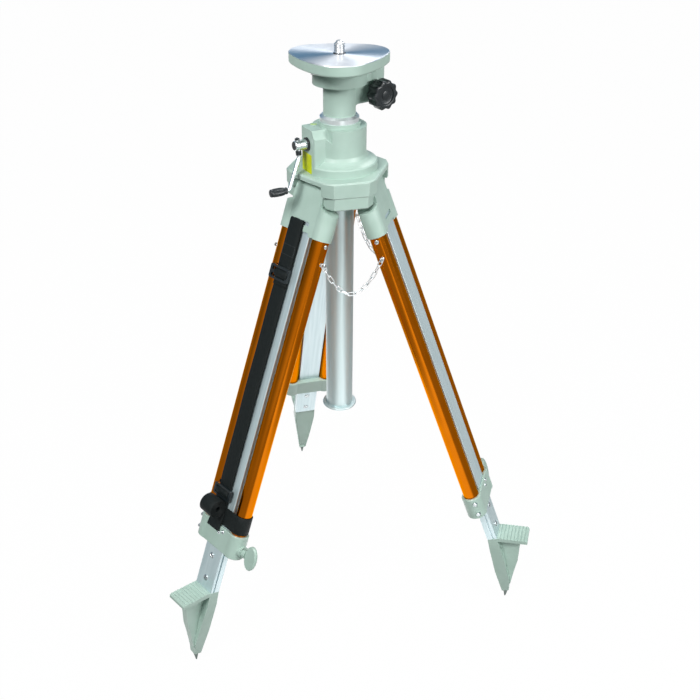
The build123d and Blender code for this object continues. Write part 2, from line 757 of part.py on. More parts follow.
# One leg, built hanging straight down from its hinge: bracket with tube sockets
tube_radius = tube_diameter / 2
tube_offset = tube_pitch / 2
bracket_face = 15.0
barrel_radius = 12.0
barrel_half = lug_half - sliding
bracket_round = 16.6
bracket_half = tube_offset + bracket_round
bar_half = leg_bar_width / 2
bar_inner = -6.0
bar_outer = bar_inner + leg_bar_depth
slot_level = -55.6

with BuildPart() as leg_bracket:
    with BuildSketch(Plane.YZ):
        with BuildLine():
            Polyline(
                (-barrel_half, 14), (barrel_half, 14), (barrel_half, -25), (bracket_half, -32.5),
                (bracket_half, -bracket_end), (-bracket_half, -bracket_end), (-bracket_half, -32.5),
                (-barrel_half, -25),
                close=True,
            )
        make_face()
    extrude(amount=20, both=True)
    with BuildSketch(Plane.XY.offset(-bracket_end)):
        with Locations((0, -tube_offset), (0, tube_offset)):
            Circle(bracket_round)
        with Locations(((bracket_face - 12.5) / 2, 0)):
            Rectangle(bracket_face + 12.5, tube_pitch)
    extrude(amount=bracket_end + 20, mode=Mode.INTERSECT)
    with BuildSketch(Plane.XZ):
        with BuildLine():
            Polyline(
                (0, barrel_radius), (-8, 9), (-barrel_radius, 0), (-17, -24), (-17, -bracket_end),
                (17, -bracket_end), (17, -24), (bracket_face, -2), (12.5, 4), (7, 9.7),
                close=True,
            )
        make_face()
    extrude(amount=60, both=True, mode=Mode.INTERSECT)
    with BuildSketch(Plane.XY.offset(-bracket_end)):
        with Locations((0, -tube_offset), (0, tube_offset)):
            Circle(tube_radius)
    extrude(amount=bracket_end - tube_start, mode=Mode.SUBTRACT)
    with BuildSketch(Plane.XY.offset(-bracket_end)):
        with Locations(((bar_inner + bar_outer) / 2, 0)):
            Rectangle(leg_bar_depth + 2 * sliding, leg_bar_width + 2 * sliding)
    extrude(amount=bracket_end - tube_start + 6, mode=Mode.SUBTRACT)
    with BuildSketch(Plane.YZ):
        with Locations((0, slot_level)):
            RectangleRounded(33, 6.4, 1.5)
        with Locations((0, -bracket_end)):
            Rectangle(leg_bar_width - 3, 9)
    extrude(amount=30, mode=Mode.SUBTRACT)
    with BuildSketch(Plane.XZ.offset(-60)):
        Circle(pin_radius + running)
    extrude(amount=120, mode=Mode.SUBTRACT)

with BuildPart() as leg_tubes:
    with BuildSketch(Plane.XY.offset(-tube_end)):
        with Locations((0, -tube_offset), (0, tube_offset)):
            Circle(tube_radius)
            Circle(tube_radius - 1.6, mode=Mode.SUBTRACT)
    extrude(amount=tube_end - tube_start)

# Collar at the foot of the tubes, bored for the clamp screw
clamp_radius = 4.0
collar_round = 17.6
collar_half = tube_offset + collar_round
collar_screw_levels = (-collar_start - 10, -collar_end + 10)
with BuildPart() as leg_collar:
    with BuildSketch(Plane.XY.offset(-collar_end)):
        with Locations((0, -tube_offset), (0, tube_offset)):
            Circle(collar_round)
        with Locations((0.75, 0)):
            Rectangle(2 * 15.75, tube_pitch)
    extrude(amount=collar_end - collar_start)
    chamfer(leg_collar.faces().sort_by(Axis.Z)[0].edges(), 1.5)
    chamfer(leg_collar.faces().sort_by(Axis.Z)[-1].edges(), 1.0)
    with BuildSketch(Plane.XZ.offset(-tube_offset)):
        with Locations((0, -clamp_level)):
            Circle(10.0)
    extrude(amount=-(collar_half + 4 - tube_offset))
    with BuildSketch(Plane.XY.offset(-collar_end)):
        with Locations(((bar_inner + bar_outer) / 2, 0)):
            Rectangle(leg_bar_depth + 2 * sliding, leg_bar_width + 2 * sliding)
    extrude(amount=collar_end - collar_start, mode=Mode.SUBTRACT)
    with BuildSketch(Plane.XY.offset(-tube_end)):
        with Locations((0, -tube_offset), (0, tube_offset)):
            Circle(tube_radius)
    extrude(amount=tube_end - collar_start, mode=Mode.SUBTRACT)
    with BuildSketch(Plane.XZ):
        with Locations((0, -clamp_level)):
            Circle(clamp_radius + running)
    extrude(amount=-(collar_half + 20), mode=Mode.SUBTRACT)
    with BuildSketch(Plane.XZ.offset(collar_half - 4)):
        with Locations(*((7, level) for level in collar_screw_levels)):
            Circle(4.0)
    extrude(amount=12, mode=Mode.SUBTRACT)

# Clamp screw with its oval wing
with BuildPart() as clamp_screw:
    with BuildSketch(Plane.YZ.offset(-3.4)):
        with Locations((collar_half + 23, -clamp_level)):
            Ellipse(13.5, 21.5)
    extrude(amount=6.8)
    chamfer(clamp_screw.edges().filter_by(GeomType.ELLIPSE), 2.0)
    with BuildSketch(Plane.XZ.offset(-collar_half - 4.2)):
        with Locations((0, -clamp_level)):
            Circle(7.0)
    extrude(amount=-7)
    with BuildSketch(Plane.XZ.offset(-bar_half - 0.6)):
        with Locations((0, -clamp_level)):
            Circle(clamp_radius)
    extrude(amount=-(collar_half + 5 - bar_half))

# Rivets, chain studs and collar screws of a leg
stud_level = 108.0
stud_base = tube_offset + tube_radius
stud_neck = 1.0
stud_reach = stud_base + 4.6
with BuildPart() as leg_fasteners:
    for side in (-1, 1):
        wall = Plane(origin=(0, side * stud_base, 0), x_dir=(1, 0, 0), z_dir=(0, side, 0))
        with BuildSketch(wall):
            with Locations((0, side * 80)):
                Circle(3.6)
        extrude(amount=1.8)
        for radius, low, high in ((3.2, 0, 1.6), (stud_neck, 1.6, 7.6), (3.0, 7.6, 9.4)):
            with BuildSketch(wall.offset(low)):
                with Locations((0, side * stud_level)):
                    Circle(radius)
            extrude(amount=high - low)
    with BuildSketch(Plane.XZ.offset(collar_half - 4)):
        with Locations(*((7, level) for level in collar_screw_levels)):
            Circle(4.0)
    extrude(amount=5.4)
    with BuildSketch(Plane.YZ.offset(16.5)):
        with Locations((5, -collar_start - 12), (14, -collar_start - 7)):
            Circle(3.4)
    extrude(amount=2.0)

# Sliding inner leg: hollow bar with a groove down each side
bar_top = tube_start + 11
bolt_levels = (-shoe_top + 63, -shoe_top + 19)
with BuildPart() as inner_leg:
    with BuildSketch(Plane.XY.offset(-shoe_top)):
        with Locations(((bar_inner + bar_outer) / 2, 0)):
            RectangleRounded(leg_bar_depth, leg_bar_width, 1.5)
            Rectangle(leg_bar_depth - 6, leg_bar_width - 10, mode=Mode.SUBTRACT)
        with Locations((6.5, -bar_half), (6.5, bar_half)):
            Rectangle(3.4, 3.6, mode=Mode.SUBTRACT)
    extrude(amount=shoe_top - bar_top)
    with BuildSketch(Plane.YZ.offset(-20)):
        with Locations(*((0, level) for level in bolt_levels)):
            Circle(3.0)
    extrude(amount=50, mode=Mode.SUBTRACT)

# Cast shoe: tongue inside the bar, tapered body, pedal on a web, spike socket
shoe_length = 139.0
spike_level = shoe_top + shoe_length
spike_middle = -12.0
shoe_side = Plane(origin=(0, 0, -shoe_top), x_dir=(1, 0, 0), z_dir=(0, -1, 0))
shoe_front = Plane(origin=(0, 0, -shoe_top), x_dir=(0, 1, 0), z_dir=(1, 0, 0))
with BuildPart() as leg_shoe:
    with BuildSketch(shoe_side):
        with BuildLine():
            Polyline(
                (-5, 0), (-16, -85), (-18.6, -shoe_length), (-5, -shoe_length), (3.6, -112), (9, -61),
                (13, 0),
                close=True,
            )
        make_face()
    extrude(amount=30, both=True)
    with BuildSketch(shoe_front):
        with BuildLine():
            Polyline(
                (-bar_half, 0), (-bar_half, -26), (-7, -shoe_length), (7, -shoe_length), (bar_half, -26),
                (bar_half, 0),
                close=True,
            )
        make_face()
    extrude(amount=40, both=True, mode=Mode.INTERSECT)
    with BuildSketch(shoe_side):
        with BuildLine():
            Polyline((0, -5), (13, -5), (52, -16), (31, -69), (18, -92), (2, -123), (-8, -123), close=True)
        make_face()
    extrude(amount=6.5, both=True)
    with BuildSketch(shoe_side):
        with BuildLine():
            treads = [(0, 0), (14, 0)]
            for k in range(8):
                along = 17 + 6 * k
                fall = -0.27 * (along - 13)
                treads += [(along, fall), (along + 3, fall + 0.45)]
            treads += [(65, -15.5), (64, -20.5), (14, -8), (0, -8)]
            Polyline(treads, close=True)
        make_face()
    extrude(amount=bar_half - 0.5, both=True)
    with BuildSketch(Plane.XY.offset(-shoe_top)):
        with Locations(((bar_inner + bar_outer) / 2, 0)):
            Rectangle(leg_bar_depth - 6, leg_bar_width - 10)
    extrude(amount=80)
    with BuildSketch(Plane.YZ.offset(-20)):
        with Locations(*((0, level) for level in bolt_levels)):
            Circle(3.0)
    extrude(amount=50, mode=Mode.SUBTRACT)
    with BuildSketch(Plane.XY.offset(-spike_level)):
        with Locations((spike_middle, 0)):
            Circle(3.0)
    extrude(amount=14, mode=Mode.SUBTRACT)

with BuildPart() as shoe_fittings:
    with BuildSketch(Plane.YZ.offset(bar_inner)):
        with Locations(*((0, level) for level in bolt_levels)):
            Circle(3.0)
    extrude(amount=leg_bar_depth)
    for level, out in ((bar_outer, 1), (bar_inner, -1)):
        with BuildSketch(Plane.YZ.offset(level)):
            with Locations(*((0, level) for level in bolt_levels)):
                Circle(5.0)
        extrude(amount=out * 2.4)
    with BuildSketch(Plane.XY.offset(-spike_level)):
        with Locations((spike_middle, 0)):
            Circle(3.0)
    extrude(amount=14)
    with BuildSketch(Plane.XY.offset(-spike_level)):
        with Locations((spike_middle, 0)):
            Circle(5.4)
    with BuildSketch(Plane.XY.offset(-tip_reach)):
        with Locations((1.0 - tip_inset, 0)):
            Circle(1.2)
    loft(ruled=True)

leg_frames = []
for k in range(3):
    spread = radians(leg_spreads[k])
    frame = leg_frame(first_leg_azimuth + 120 * k, leg_spreads[k])
    leg_frames.append(frame)
    reach = (stand_height + hinge_level - tip_inset * sin(spread)) / cos(spread)
    lower = frame.offset(tip_reach - reach)
    number = k + 1
    keep(leg_bracket, f"leg_bracket_{number}", frame)
    keep(leg_tubes, f"leg_tubes_{number}", frame)
    keep(leg_collar, f"leg_collar_{number}", frame)
    keep(leg_fasteners, f"leg_fasteners_{number}", frame)
    keep(clamp_screw, f"clamp_screw_{number}", frame)
    keep(inner_leg, f"inner_leg_{number}", lower)
    keep(leg_shoe, f"leg_shoe_{number}", lower)
    keep(shoe_fittings, f"shoe_fittings_{number}", lower)

# Carrying strap on the front left leg: hung in the bracket slot, wrapped above the
# collar, its tail rolled up over the wrap
strap_thickness = 1.6
strap_width = 30.0
strap_middle = -8.0
strap_inner = bracket_face + 0.2
strap_outer = strap_inner + strap_thickness
band_bottom = -collar_start + 3
band_top = band_bottom + 32
band_inner = tube_radius + 0.2
roll_radius = 17.5
roll_spot = (strap_outer + roll_radius - 0.3, band_top + 0.5)
roll_turns = 5
roll_step = strap_thickness + 0.8


def roll_points(inset):
    """Spiral of the rolled tail from its outer end, a distance in from the outer skin."""
    points = []
    for i in range(24 * roll_turns + 1):
        turn = pi - 2 * pi * i / 24
        radius = roll_radius - inset - roll_step * i / 24
        points.append((roll_spot[0] + radius * cos(turn), roll_spot[1] + radius * sin(turn)))
    return points


with BuildPart() as leg_strap:
    with BuildSketch(Plane.XZ.offset(-strap_middle)):
        with BuildLine():
            Polyline(
                (strap_inner, slot_level + 1.2), (strap_outer, slot_level + 1.2),
                (strap_outer, band_bottom), (strap_inner, band_bottom),
                close=True,
            )
        make_face()
        with BuildLine():
            Polyline(roll_points(0) + roll_points(strap_thickness)[::-1], close=True)
        make_face()
        with BuildLine():
            Polyline(
                (strap_outer - 0.3, band_top - 20), (strap_outer + 1.3, band_top - 20),
                (strap_outer + 4.6, band_top - 44), (strap_outer + 3.0, band_top - 44),
                (strap_outer - 0.3, band_top - 26),
                close=True,
            )
        make_face()
    extrude(amount=strap_width / 2, both=True)
    with BuildSketch(Plane.XY.offset(slot_level - 0.4)):
        with Locations(((bar_outer + 0.5 + strap_outer) / 2, -3.5)):
            Rectangle(strap_outer - bar_outer - 0.5, 21)
    extrude(amount=strap_thickness)
    with BuildSketch(Plane.XY.offset(band_bottom)):
        RectangleRounded(
            2 * (band_inner + strap_thickness), tube_pitch + 2 * (band_inner + strap_thickness),
            band_inner + 1.5,
        )
        RectangleRounded(2 * band_inner, tube_pitch + 2 * band_inner, band_inner - 0.1, mode=Mode.SUBTRACT)
    extrude(amount=band_top - band_bottom)
keep(leg_strap, "leg_strap", leg_frames[0])

with BuildPart() as strap_buckles:
    for across, level, bars in ((strap_middle - 5, -143.5, 23), (strap_middle, band_top + 23.5, 20)):
        with BuildSketch(Plane.YZ.offset(strap_outer)):
            with Locations((across, level)):
                RectangleRounded(strap_width + 12, bars, 3)
                with Locations((0, bars * 0.225), (0, -bars * 0.225)):
                    Rectangle(strap_width + 3, bars * 0.225, mode=Mode.SUBTRACT)
        extrude(amount=4.8)
keep(strap_buckles, "strap_buckles", leg_frames[0])

# Spread chains: straight-sided links hung in a shallow curve from stud to stud
wire = 1.7
link_length = 16.0
link_width = 7.4
links = 13
link_step = link_length - 2 * wire - 0.9
first_step = link_length / 2 - wire - stud_neck - 0.8


def slot_points(half_length, half_width, cut):
    """Eight corners of a link outline."""
    return [
        (half_length, -half_width + cut), (half_length, half_width - cut), (half_length - cut, half_width),
        (cut - half_length, half_width), (-half_length, half_width - cut), (-half_length, cut - half_width),
        (cut - half_length, -half_width), (half_length - cut, -half_width),
    ]


def hang(start, end, sag, share):
    """Point on the hanging curve, a share of the way across."""
    return start + (end - start) * share - Vector(0, 0, 4 * sag * share * (1 - share))


chain_length = 2 * first_step + (links - 1) * link_step
for k in range(3):
    start = leg_frames[k].from_local_coords(Vector(0, stud_reach, -stud_level))
    end = leg_frames[(k + 1) % 3].from_local_coords(Vector(0, -stud_reach, -stud_level))
    low, high = 0.0, 120.0
    for turn in range(40):
        sag = (low + high) / 2
        marks = [hang(start, end, sag, i / 200) for i in range(201)]
        measured = sum((marks[i + 1] - marks[i]).length for i in range(200))
        low, high = (sag, high) if measured < chain_length else (low, sag)
    runs, walked = [0.0], 0.0
    for i in range(200):
        walked += (marks[i + 1] - marks[i]).length
        runs.append(walked)
    across = (end - start).cross(Vector(0, 0, 1)).normalized()
    with BuildPart() as spread_chain:
        for i in range(links):
            spot = first_step + i * link_step
            at = max(j for j in range(200) if runs[j] <= spot)
            share = (at + (spot - runs[at]) / (runs[at + 1] - runs[at])) / 200
            middle = hang(start, end, sag, share)
            along = (hang(start, end, sag, share + 0.04) - hang(start, end, sag, share - 0.04)).normalized()
            upright = across.cross(along).normalized() if i % 2 else across
            link_plane = Plane(origin=middle - upright * (wire / 2), x_dir=along, z_dir=upright)
            with BuildSketch(link_plane):
                with BuildLine():
                    Polyline(slot_points(link_length / 2, link_width / 2, 2.0), close=True)
                make_face()
                with BuildLine():
                    Polyline(slot_points(link_length / 2 - wire, link_width / 2 - wire, 0.7), close=True)
                make_face(mode=Mode.SUBTRACT)
            extrude(amount=wire)
    keep(spread_chain, f"spread_chain_{k + 1}")
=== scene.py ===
import json
from math import atan2, cos, pi, radians, sin, sqrt

import bmesh
import bpy
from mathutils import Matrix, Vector

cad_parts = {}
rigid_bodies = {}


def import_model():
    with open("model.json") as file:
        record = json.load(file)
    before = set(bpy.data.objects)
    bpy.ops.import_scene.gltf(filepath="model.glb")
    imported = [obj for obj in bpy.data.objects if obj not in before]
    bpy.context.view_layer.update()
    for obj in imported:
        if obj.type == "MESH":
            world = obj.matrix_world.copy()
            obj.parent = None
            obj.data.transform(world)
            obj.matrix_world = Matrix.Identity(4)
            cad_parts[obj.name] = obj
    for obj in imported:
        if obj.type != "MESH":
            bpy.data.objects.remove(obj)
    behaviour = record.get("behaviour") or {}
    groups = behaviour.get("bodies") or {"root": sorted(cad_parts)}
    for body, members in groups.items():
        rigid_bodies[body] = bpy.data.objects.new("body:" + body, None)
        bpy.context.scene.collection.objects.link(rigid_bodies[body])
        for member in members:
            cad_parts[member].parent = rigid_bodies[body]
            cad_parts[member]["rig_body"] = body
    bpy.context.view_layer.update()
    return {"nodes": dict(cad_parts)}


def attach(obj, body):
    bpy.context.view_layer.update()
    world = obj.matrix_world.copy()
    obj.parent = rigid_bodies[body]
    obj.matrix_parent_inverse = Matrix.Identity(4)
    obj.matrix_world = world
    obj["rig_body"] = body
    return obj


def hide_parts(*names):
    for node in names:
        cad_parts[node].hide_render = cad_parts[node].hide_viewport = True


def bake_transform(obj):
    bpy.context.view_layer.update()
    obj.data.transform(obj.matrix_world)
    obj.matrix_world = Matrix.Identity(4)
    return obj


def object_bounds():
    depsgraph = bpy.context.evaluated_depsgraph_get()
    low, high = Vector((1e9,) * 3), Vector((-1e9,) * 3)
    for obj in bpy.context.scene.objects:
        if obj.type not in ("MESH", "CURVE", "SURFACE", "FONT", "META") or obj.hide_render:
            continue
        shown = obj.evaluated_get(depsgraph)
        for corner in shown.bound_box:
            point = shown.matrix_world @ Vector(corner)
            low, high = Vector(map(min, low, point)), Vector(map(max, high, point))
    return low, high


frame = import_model()

# The pale studio: a wide floor at the level of the spikes, a soft dome of light, a large key
# lamp and a weak panel high in front, a fill on the right and a strip behind for the edges.
# Bright metal mirrors a strip of the floor that glows brighter for reflected rays only, a painted light, and
# a dark blue card low behind the stand.
def ramp(tree, value, stops):
    """Colour ramp of two stops on a value: (position, colour or number)."""
    made = tree.nodes.new("ShaderNodeValToRGB")
    for element, (position, tone) in zip(made.color_ramp.elements, stops):
        element.position = position
        element.color = (*tone, 1) if isinstance(tone, tuple) else (tone, tone, tone, 1)
    tree.links.new(value, made.inputs[0])
    return made.outputs[0]


def combine(tree, operation, first, second=None):
    """Math node on one or two sockets or numbers."""
    made = tree.nodes.new("ShaderNodeMath")
    made.operation = operation
    for value, socket in zip((first, second), made.inputs):
        if isinstance(value, bpy.types.NodeSocket):
            tree.links.new(value, socket)
        elif value is not None:
            socket.default_value = value
    return made.outputs[0]


def eased(tree, value, start, stop, low=0.0, high=1.0, kind="SMOOTHSTEP"):
    """Map a value between start and stop to low and high."""
    made = tree.nodes.new("ShaderNodeMapRange")
    made.interpolation_type = kind
    for label, number in (("From Min", start), ("From Max", stop), ("To Min", low), ("To Max", high)):
        made.inputs[label].default_value = number
    tree.links.new(value, made.inputs["Value"])
    return made.outputs[0]


def blend_colours(tree, value, low, high):
    """Mix two colours, sockets or tuples, by a value."""
    made = tree.nodes.new("ShaderNodeMix")
    made.data_type = "RGBA"
    tree.links.new(value, made.inputs["Factor"])
    for colour, socket in ((low, made.inputs[6]), (high, made.inputs[7])):
        if isinstance(colour, tuple):
            socket.default_value = (*colour, 1)
        else:
            tree.links.new(colour, socket)
    return made.outputs[2]


def mix_shaders(tree, factor, first, second):
    """Mix two shaders by a factor."""
    made = tree.nodes.new("ShaderNodeMixShader")
    for value, socket in zip((factor, first, second), made.inputs):
        tree.links.new(value, socket)
    return made.outputs[0]


def background(tree, colour, strength=1.0):
    """World light in one colour, a socket or a tuple."""
    made = tree.nodes.new("ShaderNodeBackground")
    made.inputs["Strength"].default_value = strength
    if isinstance(colour, tuple):
        made.inputs["Color"].default_value = (*colour, 1)
    else:
        tree.links.new(colour, made.inputs["Color"])
    return made.outputs[0]


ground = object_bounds()[0].z
reach = 30
floor_mesh = bpy.data.meshes.new("studio_floor")
floor_mesh.from_pydata(
    [(-reach, -reach, ground), (reach, -reach, ground), (reach, reach, ground), (-reach, reach, ground)],
    [], [(0, 1, 2, 3)],
)
studio_floor = bpy.data.objects.new("studio_floor", floor_mesh)
bpy.context.scene.collection.objects.link(studio_floor)

floor_paint = bpy.data.materials.new("studio_floor_paint")
floor_paint.use_nodes = True
tree = floor_paint.node_tree
tree.nodes.clear()
path = tree.nodes.new("ShaderNodeLightPath")
by_camera, by_mirror = path.outputs["Is Camera Ray"], path.outputs["Is Glossy Ray"]
seen = combine(tree, "MAXIMUM", by_camera, by_mirror)
seen = combine(tree, "MAXIMUM", seen, path.outputs["Is Transmission Ray"])
matt = tree.nodes.new("ShaderNodeBsdfDiffuse")
matt.inputs["Color"].default_value = (0.16, 0.165, 0.165, 1)
spot = tree.nodes.new("ShaderNodeTexCoord")
strip = tree.nodes.new("ShaderNodeVectorMath")
strip.operation = "DOT_PRODUCT"
strip.inputs[1].default_value = (0.949, 0.316, 0)
tree.links.new(spot.outputs["Object"], strip.inputs[0])
# Painted light: the floor glows at 1.9 along a strip and at 0.55 away from it, seen only in reflections.
reflected_glow_strip = eased(tree, combine(tree, "ABSOLUTE", strip.outputs["Value"]), 0.15, 0.65, 1.9, 0.55)
level = tree.nodes.new("ShaderNodeMix")
level.inputs["B"].default_value = 1.05
tree.links.new(by_camera, level.inputs["Factor"])
tree.links.new(reflected_glow_strip, level.inputs["A"])
white = tree.nodes.new("ShaderNodeEmission")
tree.links.new(level.outputs["Result"], white.inputs["Strength"])
shown = mix_shaders(tree, combine(tree, "MULTIPLY", seen, 0.94), matt.outputs[0], white.outputs[0])
out = tree.nodes.new("ShaderNodeOutputMaterial")
tree.links.new(shown, out.inputs["Surface"])
floor_mesh.materials.append(floor_paint)

world = bpy.data.worlds.new("studio_dome")
bpy.context.scene.world = world
world.use_nodes = True
tree = world.node_tree
tree.nodes.clear()
place = tree.nodes.new("ShaderNodeTexCoord")
split = tree.nodes.new("ShaderNodeSeparateXYZ")
tree.links.new(place.outputs["Generated"], split.inputs[0])
aside = combine(tree, "ABSOLUTE", split.outputs["X"])
dome = ramp(tree, aside, ((0.25, (1.0, 1.0, 1.0)), (0.95, (0.34, 0.37, 0.41))))
dome_shade = ramp(tree, aside, ((0.25, (0.80, 1.0, 0.93)), (0.95, (0.272, 0.37, 0.3813))))
low = eased(tree, split.outputs["Z"], 0.34, 0.72, 1.0, 0.0)
behind = eased(tree, split.outputs["Y"], 0.1, 0.5)
slant = eased(tree, split.outputs["X"], -0.15, 0.25, 1.0, 0.75, "LINEAR")
card = combine(tree, "MULTIPLY", combine(tree, "MULTIPLY", low, behind), slant)
path = tree.nodes.new("ShaderNodeLightPath")
shiny = combine(tree, "MAXIMUM", path.outputs["Is Glossy Ray"], path.outputs["Is Transmission Ray"])
mirrored = background(tree, blend_colours(tree, card, dome, (0.0, 0.13, 0.27)))
inner = mix_shaders(tree, shiny, background(tree, dome_shade, 0.24), mirrored)
outer = mix_shaders(tree, path.outputs["Is Camera Ray"], inner, background(tree, (1.0, 1.0, 1.0)))
out = tree.nodes.new("ShaderNodeOutputWorld")
tree.links.new(outer, out.inputs["Surface"])

lamp_aim = Vector((0, 0, -0.35))
for name, at, size, power in (
    ("key_lamp", (-1.1, -1.75, 1.6), 1.2, 70),
    ("top_panel", (0.3, -0.3, 1.7), 1.3, 4),
    ("fill_lamp", (1.9, -1.2, 0.6), 1.1, 40),
    ("back_strip", (0.7, 1.9, 1.3), 0.9, 10),
):
    lamp = bpy.data.lights.new(name, "AREA")
    lamp.shape, lamp.size, lamp.energy = "DISK", size, power
    holder = bpy.data.objects.new(name, lamp)
    holder.location = at
    holder.rotation_euler = (lamp_aim - Vector(at)).to_track_quat("-Z", "Y").to_euler()
    bpy.context.scene.collection.objects.link(holder)

camera = bpy.data.objects.new("camera", bpy.data.cameras.new("camera"))
camera.data.lens, camera.data.sensor_width = 46.1, 36
camera.data.shift_x = 0.0151
camera.location = (0, -1.337, 0.304)
camera.rotation_euler = (radians(58.87), 0, 0)
bpy.context.scene.collection.objects.link(camera)
bpy.context.scene.camera = camera
bpy.context.scene.view_settings.view_transform = "Standard"

# Painted castings: head, lift housing, shoulder, hinge cap, leg brackets, foot collars, clamp
# screws and shoes. Sand-cast aluminium under a light sage enamel with a faint orange peel, its
# edges rounded by the casting and rubbed a little paler. The shoes are hollow at the back.
def material_named(name):
    """New node material and its main shader."""
    made = bpy.data.materials.new(name)
    made.use_nodes = True
    return made, made.node_tree, made.node_tree.nodes["Principled BSDF"]


def noise(tree, scale, detail=4.0, stretch=(1, 1, 1)):
    """Noise on the piece's own coordinates, in features to the metre."""
    spot = tree.nodes.new("ShaderNodeTexCoord")
    turn = tree.nodes.new("ShaderNodeMapping")
    turn.inputs["Scale"].default_value = stretch
    tree.links.new(spot.outputs["Object"], turn.inputs["Vector"])
    grain = tree.nodes.new("ShaderNodeTexNoise")
    grain.inputs["Scale"].default_value = scale
    grain.inputs["Detail"].default_value = detail
    tree.links.new(turn.outputs[0], grain.inputs["Vector"])
    return grain.outputs["Fac"]


def vary(tree, socket, field, low, high, start=0.3, stop=0.7):
    """Feed a socket with a ramp between two colours or two numbers on a field."""
    tree.links.new(ramp(tree, field, ((start, low), (stop, high))), socket)


def bump(tree, shader, height, strength, depth):
    """Raise the surface by a height value, strength 0 to 1, depth in metres."""
    made = tree.nodes.new("ShaderNodeBump")
    made.inputs["Strength"].default_value = strength
    made.inputs["Distance"].default_value = depth
    tree.links.new(height, made.inputs["Height"])
    tree.links.new(made.outputs[0], shader.inputs["Normal"])


enamel, tree, shader = material_named("sage_enamel")
tone = ramp(tree, noise(tree, 28, 3), ((0.3, (0.385, 0.515, 0.45)), (0.7, (0.435, 0.57, 0.505))))
worn = tree.nodes.new("ShaderNodeAttribute")
worn.attribute_name = "edge"
patches = ramp(tree, noise(tree, 160, 5), ((0.42, 0.15), (0.7, 0.75)))
rub = combine(tree, "MULTIPLY", worn.outputs["Fac"], patches)
tree.links.new(blend_colours(tree, rub, tone, (0.60, 0.70, 0.645)), shader.inputs["Base Color"])
vary(tree, shader.inputs["Roughness"], noise(tree, 75, 4), 0.34, 0.50, stop=0.75)
bump(tree, shader, noise(tree, 620, 3), 0.16, 0.0004)
shader.inputs["Coat Weight"].default_value = 0.10
shader.inputs["Coat Roughness"].default_value = 0.22

leg_spreads = (22.2, 20.9, 23.3)
first_azimuth, hinge_radius, hinge_level = 223.76, 0.0455, -0.194
weld_gap, flat_angle, corner_angle, crease_angle = 2e-6, radians(0.6), radians(28), radians(36)
shoe_start, shoe_rim, shoe_hollow = 0.705, 0.0032, 0.0036
back_facing, least_back = -0.97, 3e-4


def leg_axes(k):
    """Hinge point and the ways out, across and up of leg k, counted from 1."""
    a, p = radians(first_azimuth + 120 * (k - 1)), radians(leg_spreads[k - 1])
    return (
        Vector((hinge_radius * cos(a), hinge_radius * sin(a), hinge_level)),
        Vector((cos(p) * cos(a), cos(p) * sin(a), sin(p))),
        Vector((-sin(a), cos(a), 0)),
        Vector((-sin(p) * cos(a), -sin(p) * sin(a), cos(p))),
    )


def casting_copy(node, round_by, steps=2, paint=enamel, hollow=None):
    """Welded copy of a solid with its edges rounded, in place of the node."""
    source = frame["nodes"][node]
    work = bmesh.new()
    work.from_mesh(source.data)
    bmesh.ops.remove_doubles(work, verts=work.verts, dist=weld_gap)
    bmesh.ops.dissolve_limit(
        work, angle_limit=flat_angle, verts=work.verts, edges=work.edges, use_dissolve_boundaries=False
    )
    if hollow:
        hinge, outward, _, upward = leg_axes(hollow)
        back = [
            f for f in work.faces
            if f.normal.dot(outward) < back_facing and f.calc_area() > least_back
            and (hinge - f.calc_center_median()).dot(upward) > shoe_start
        ]
        bmesh.ops.inset_region(
            work, faces=back, thickness=shoe_rim, depth=-shoe_hollow, use_even_offset=True
        )
    mark = work.faces.layers.float.new("edge")
    corners = [
        e for e in work.edges
        if len(e.link_faces) == 2 and e.calc_face_angle(0) > corner_angle
    ]
    bent = bmesh.ops.bevel(
        work, geom=corners, offset=round_by, offset_type="OFFSET", segments=steps, profile=0.5,
        affect="EDGES", clamp_overlap=True, loop_slide=True,
    )
    for face in bent["faces"]:
        face[mark] = 1.0
    bmesh.ops.triangulate(work, faces=[f for f in work.faces if len(f.verts) > 4])
    for face in work.faces:
        face.smooth = True
    for edge in work.edges:
        edge.smooth = len(edge.link_faces) == 2 and edge.calc_face_angle(0) < crease_angle
    mesh = bpy.data.meshes.new(node + "_cast")
    work.to_mesh(mesh)
    work.free()
    made = bpy.data.objects.new(node + "_cast", mesh)
    bpy.context.scene.collection.objects.link(made)
    mesh.materials.append(paint)
    weighted = made.modifiers.new("face_weight", "WEIGHTED_NORMAL")
    weighted.keep_sharp = True
    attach(made, source["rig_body"])
    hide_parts(node)
    return made


for node, round_by, steps in (
    ("head_casting", 0.0012, 3), ("lift_housing", 0.0011, 3), ("shoulder", 0.0010, 2),
    ("hinge_cap", 0.0010, 2),
):
    casting_copy(node, round_by, steps)
for k in (1, 2, 3):
    casting_copy(f"leg_bracket_{k}", 0.0014, 3)
    casting_copy(f"leg_collar_{k}", 0.0009, 2)
    casting_copy(f"leg_shoe_{k}", 0.0008, 2, hollow=k)
    casting_copy(f"clamp_screw_{k}", 0.0012, 3)

# Head plate: a thick aluminium casting painted with the rest, its top faced on a lathe and
# left bare, so the fine turning marks throw two bright fans across it.
faced, tree, shader = material_named("faced_aluminium")
shader.inputs["Metallic"].default_value = 1.0
shader.inputs["Anisotropic"].default_value = 0.82
spot = tree.nodes.new("ShaderNodeTexCoord")
split = tree.nodes.new("ShaderNodeSeparateXYZ")
tree.links.new(spot.outputs["Object"], split.inputs[0])
radial_way = tree.nodes.new("ShaderNodeCombineXYZ")
tree.links.new(split.outputs["X"], radial_way.inputs["X"])
tree.links.new(split.outputs["Y"], radial_way.inputs["Y"])
tree.links.new(radial_way.outputs[0], shader.inputs["Tangent"])
rings = tree.nodes.new("ShaderNodeTexWave")
rings.wave_type, rings.rings_direction = "RINGS", "Z"
rings.inputs["Scale"].default_value = 420
rings.inputs["Distortion"].default_value = 0.4
tree.links.new(spot.outputs["Object"], rings.inputs["Vector"])
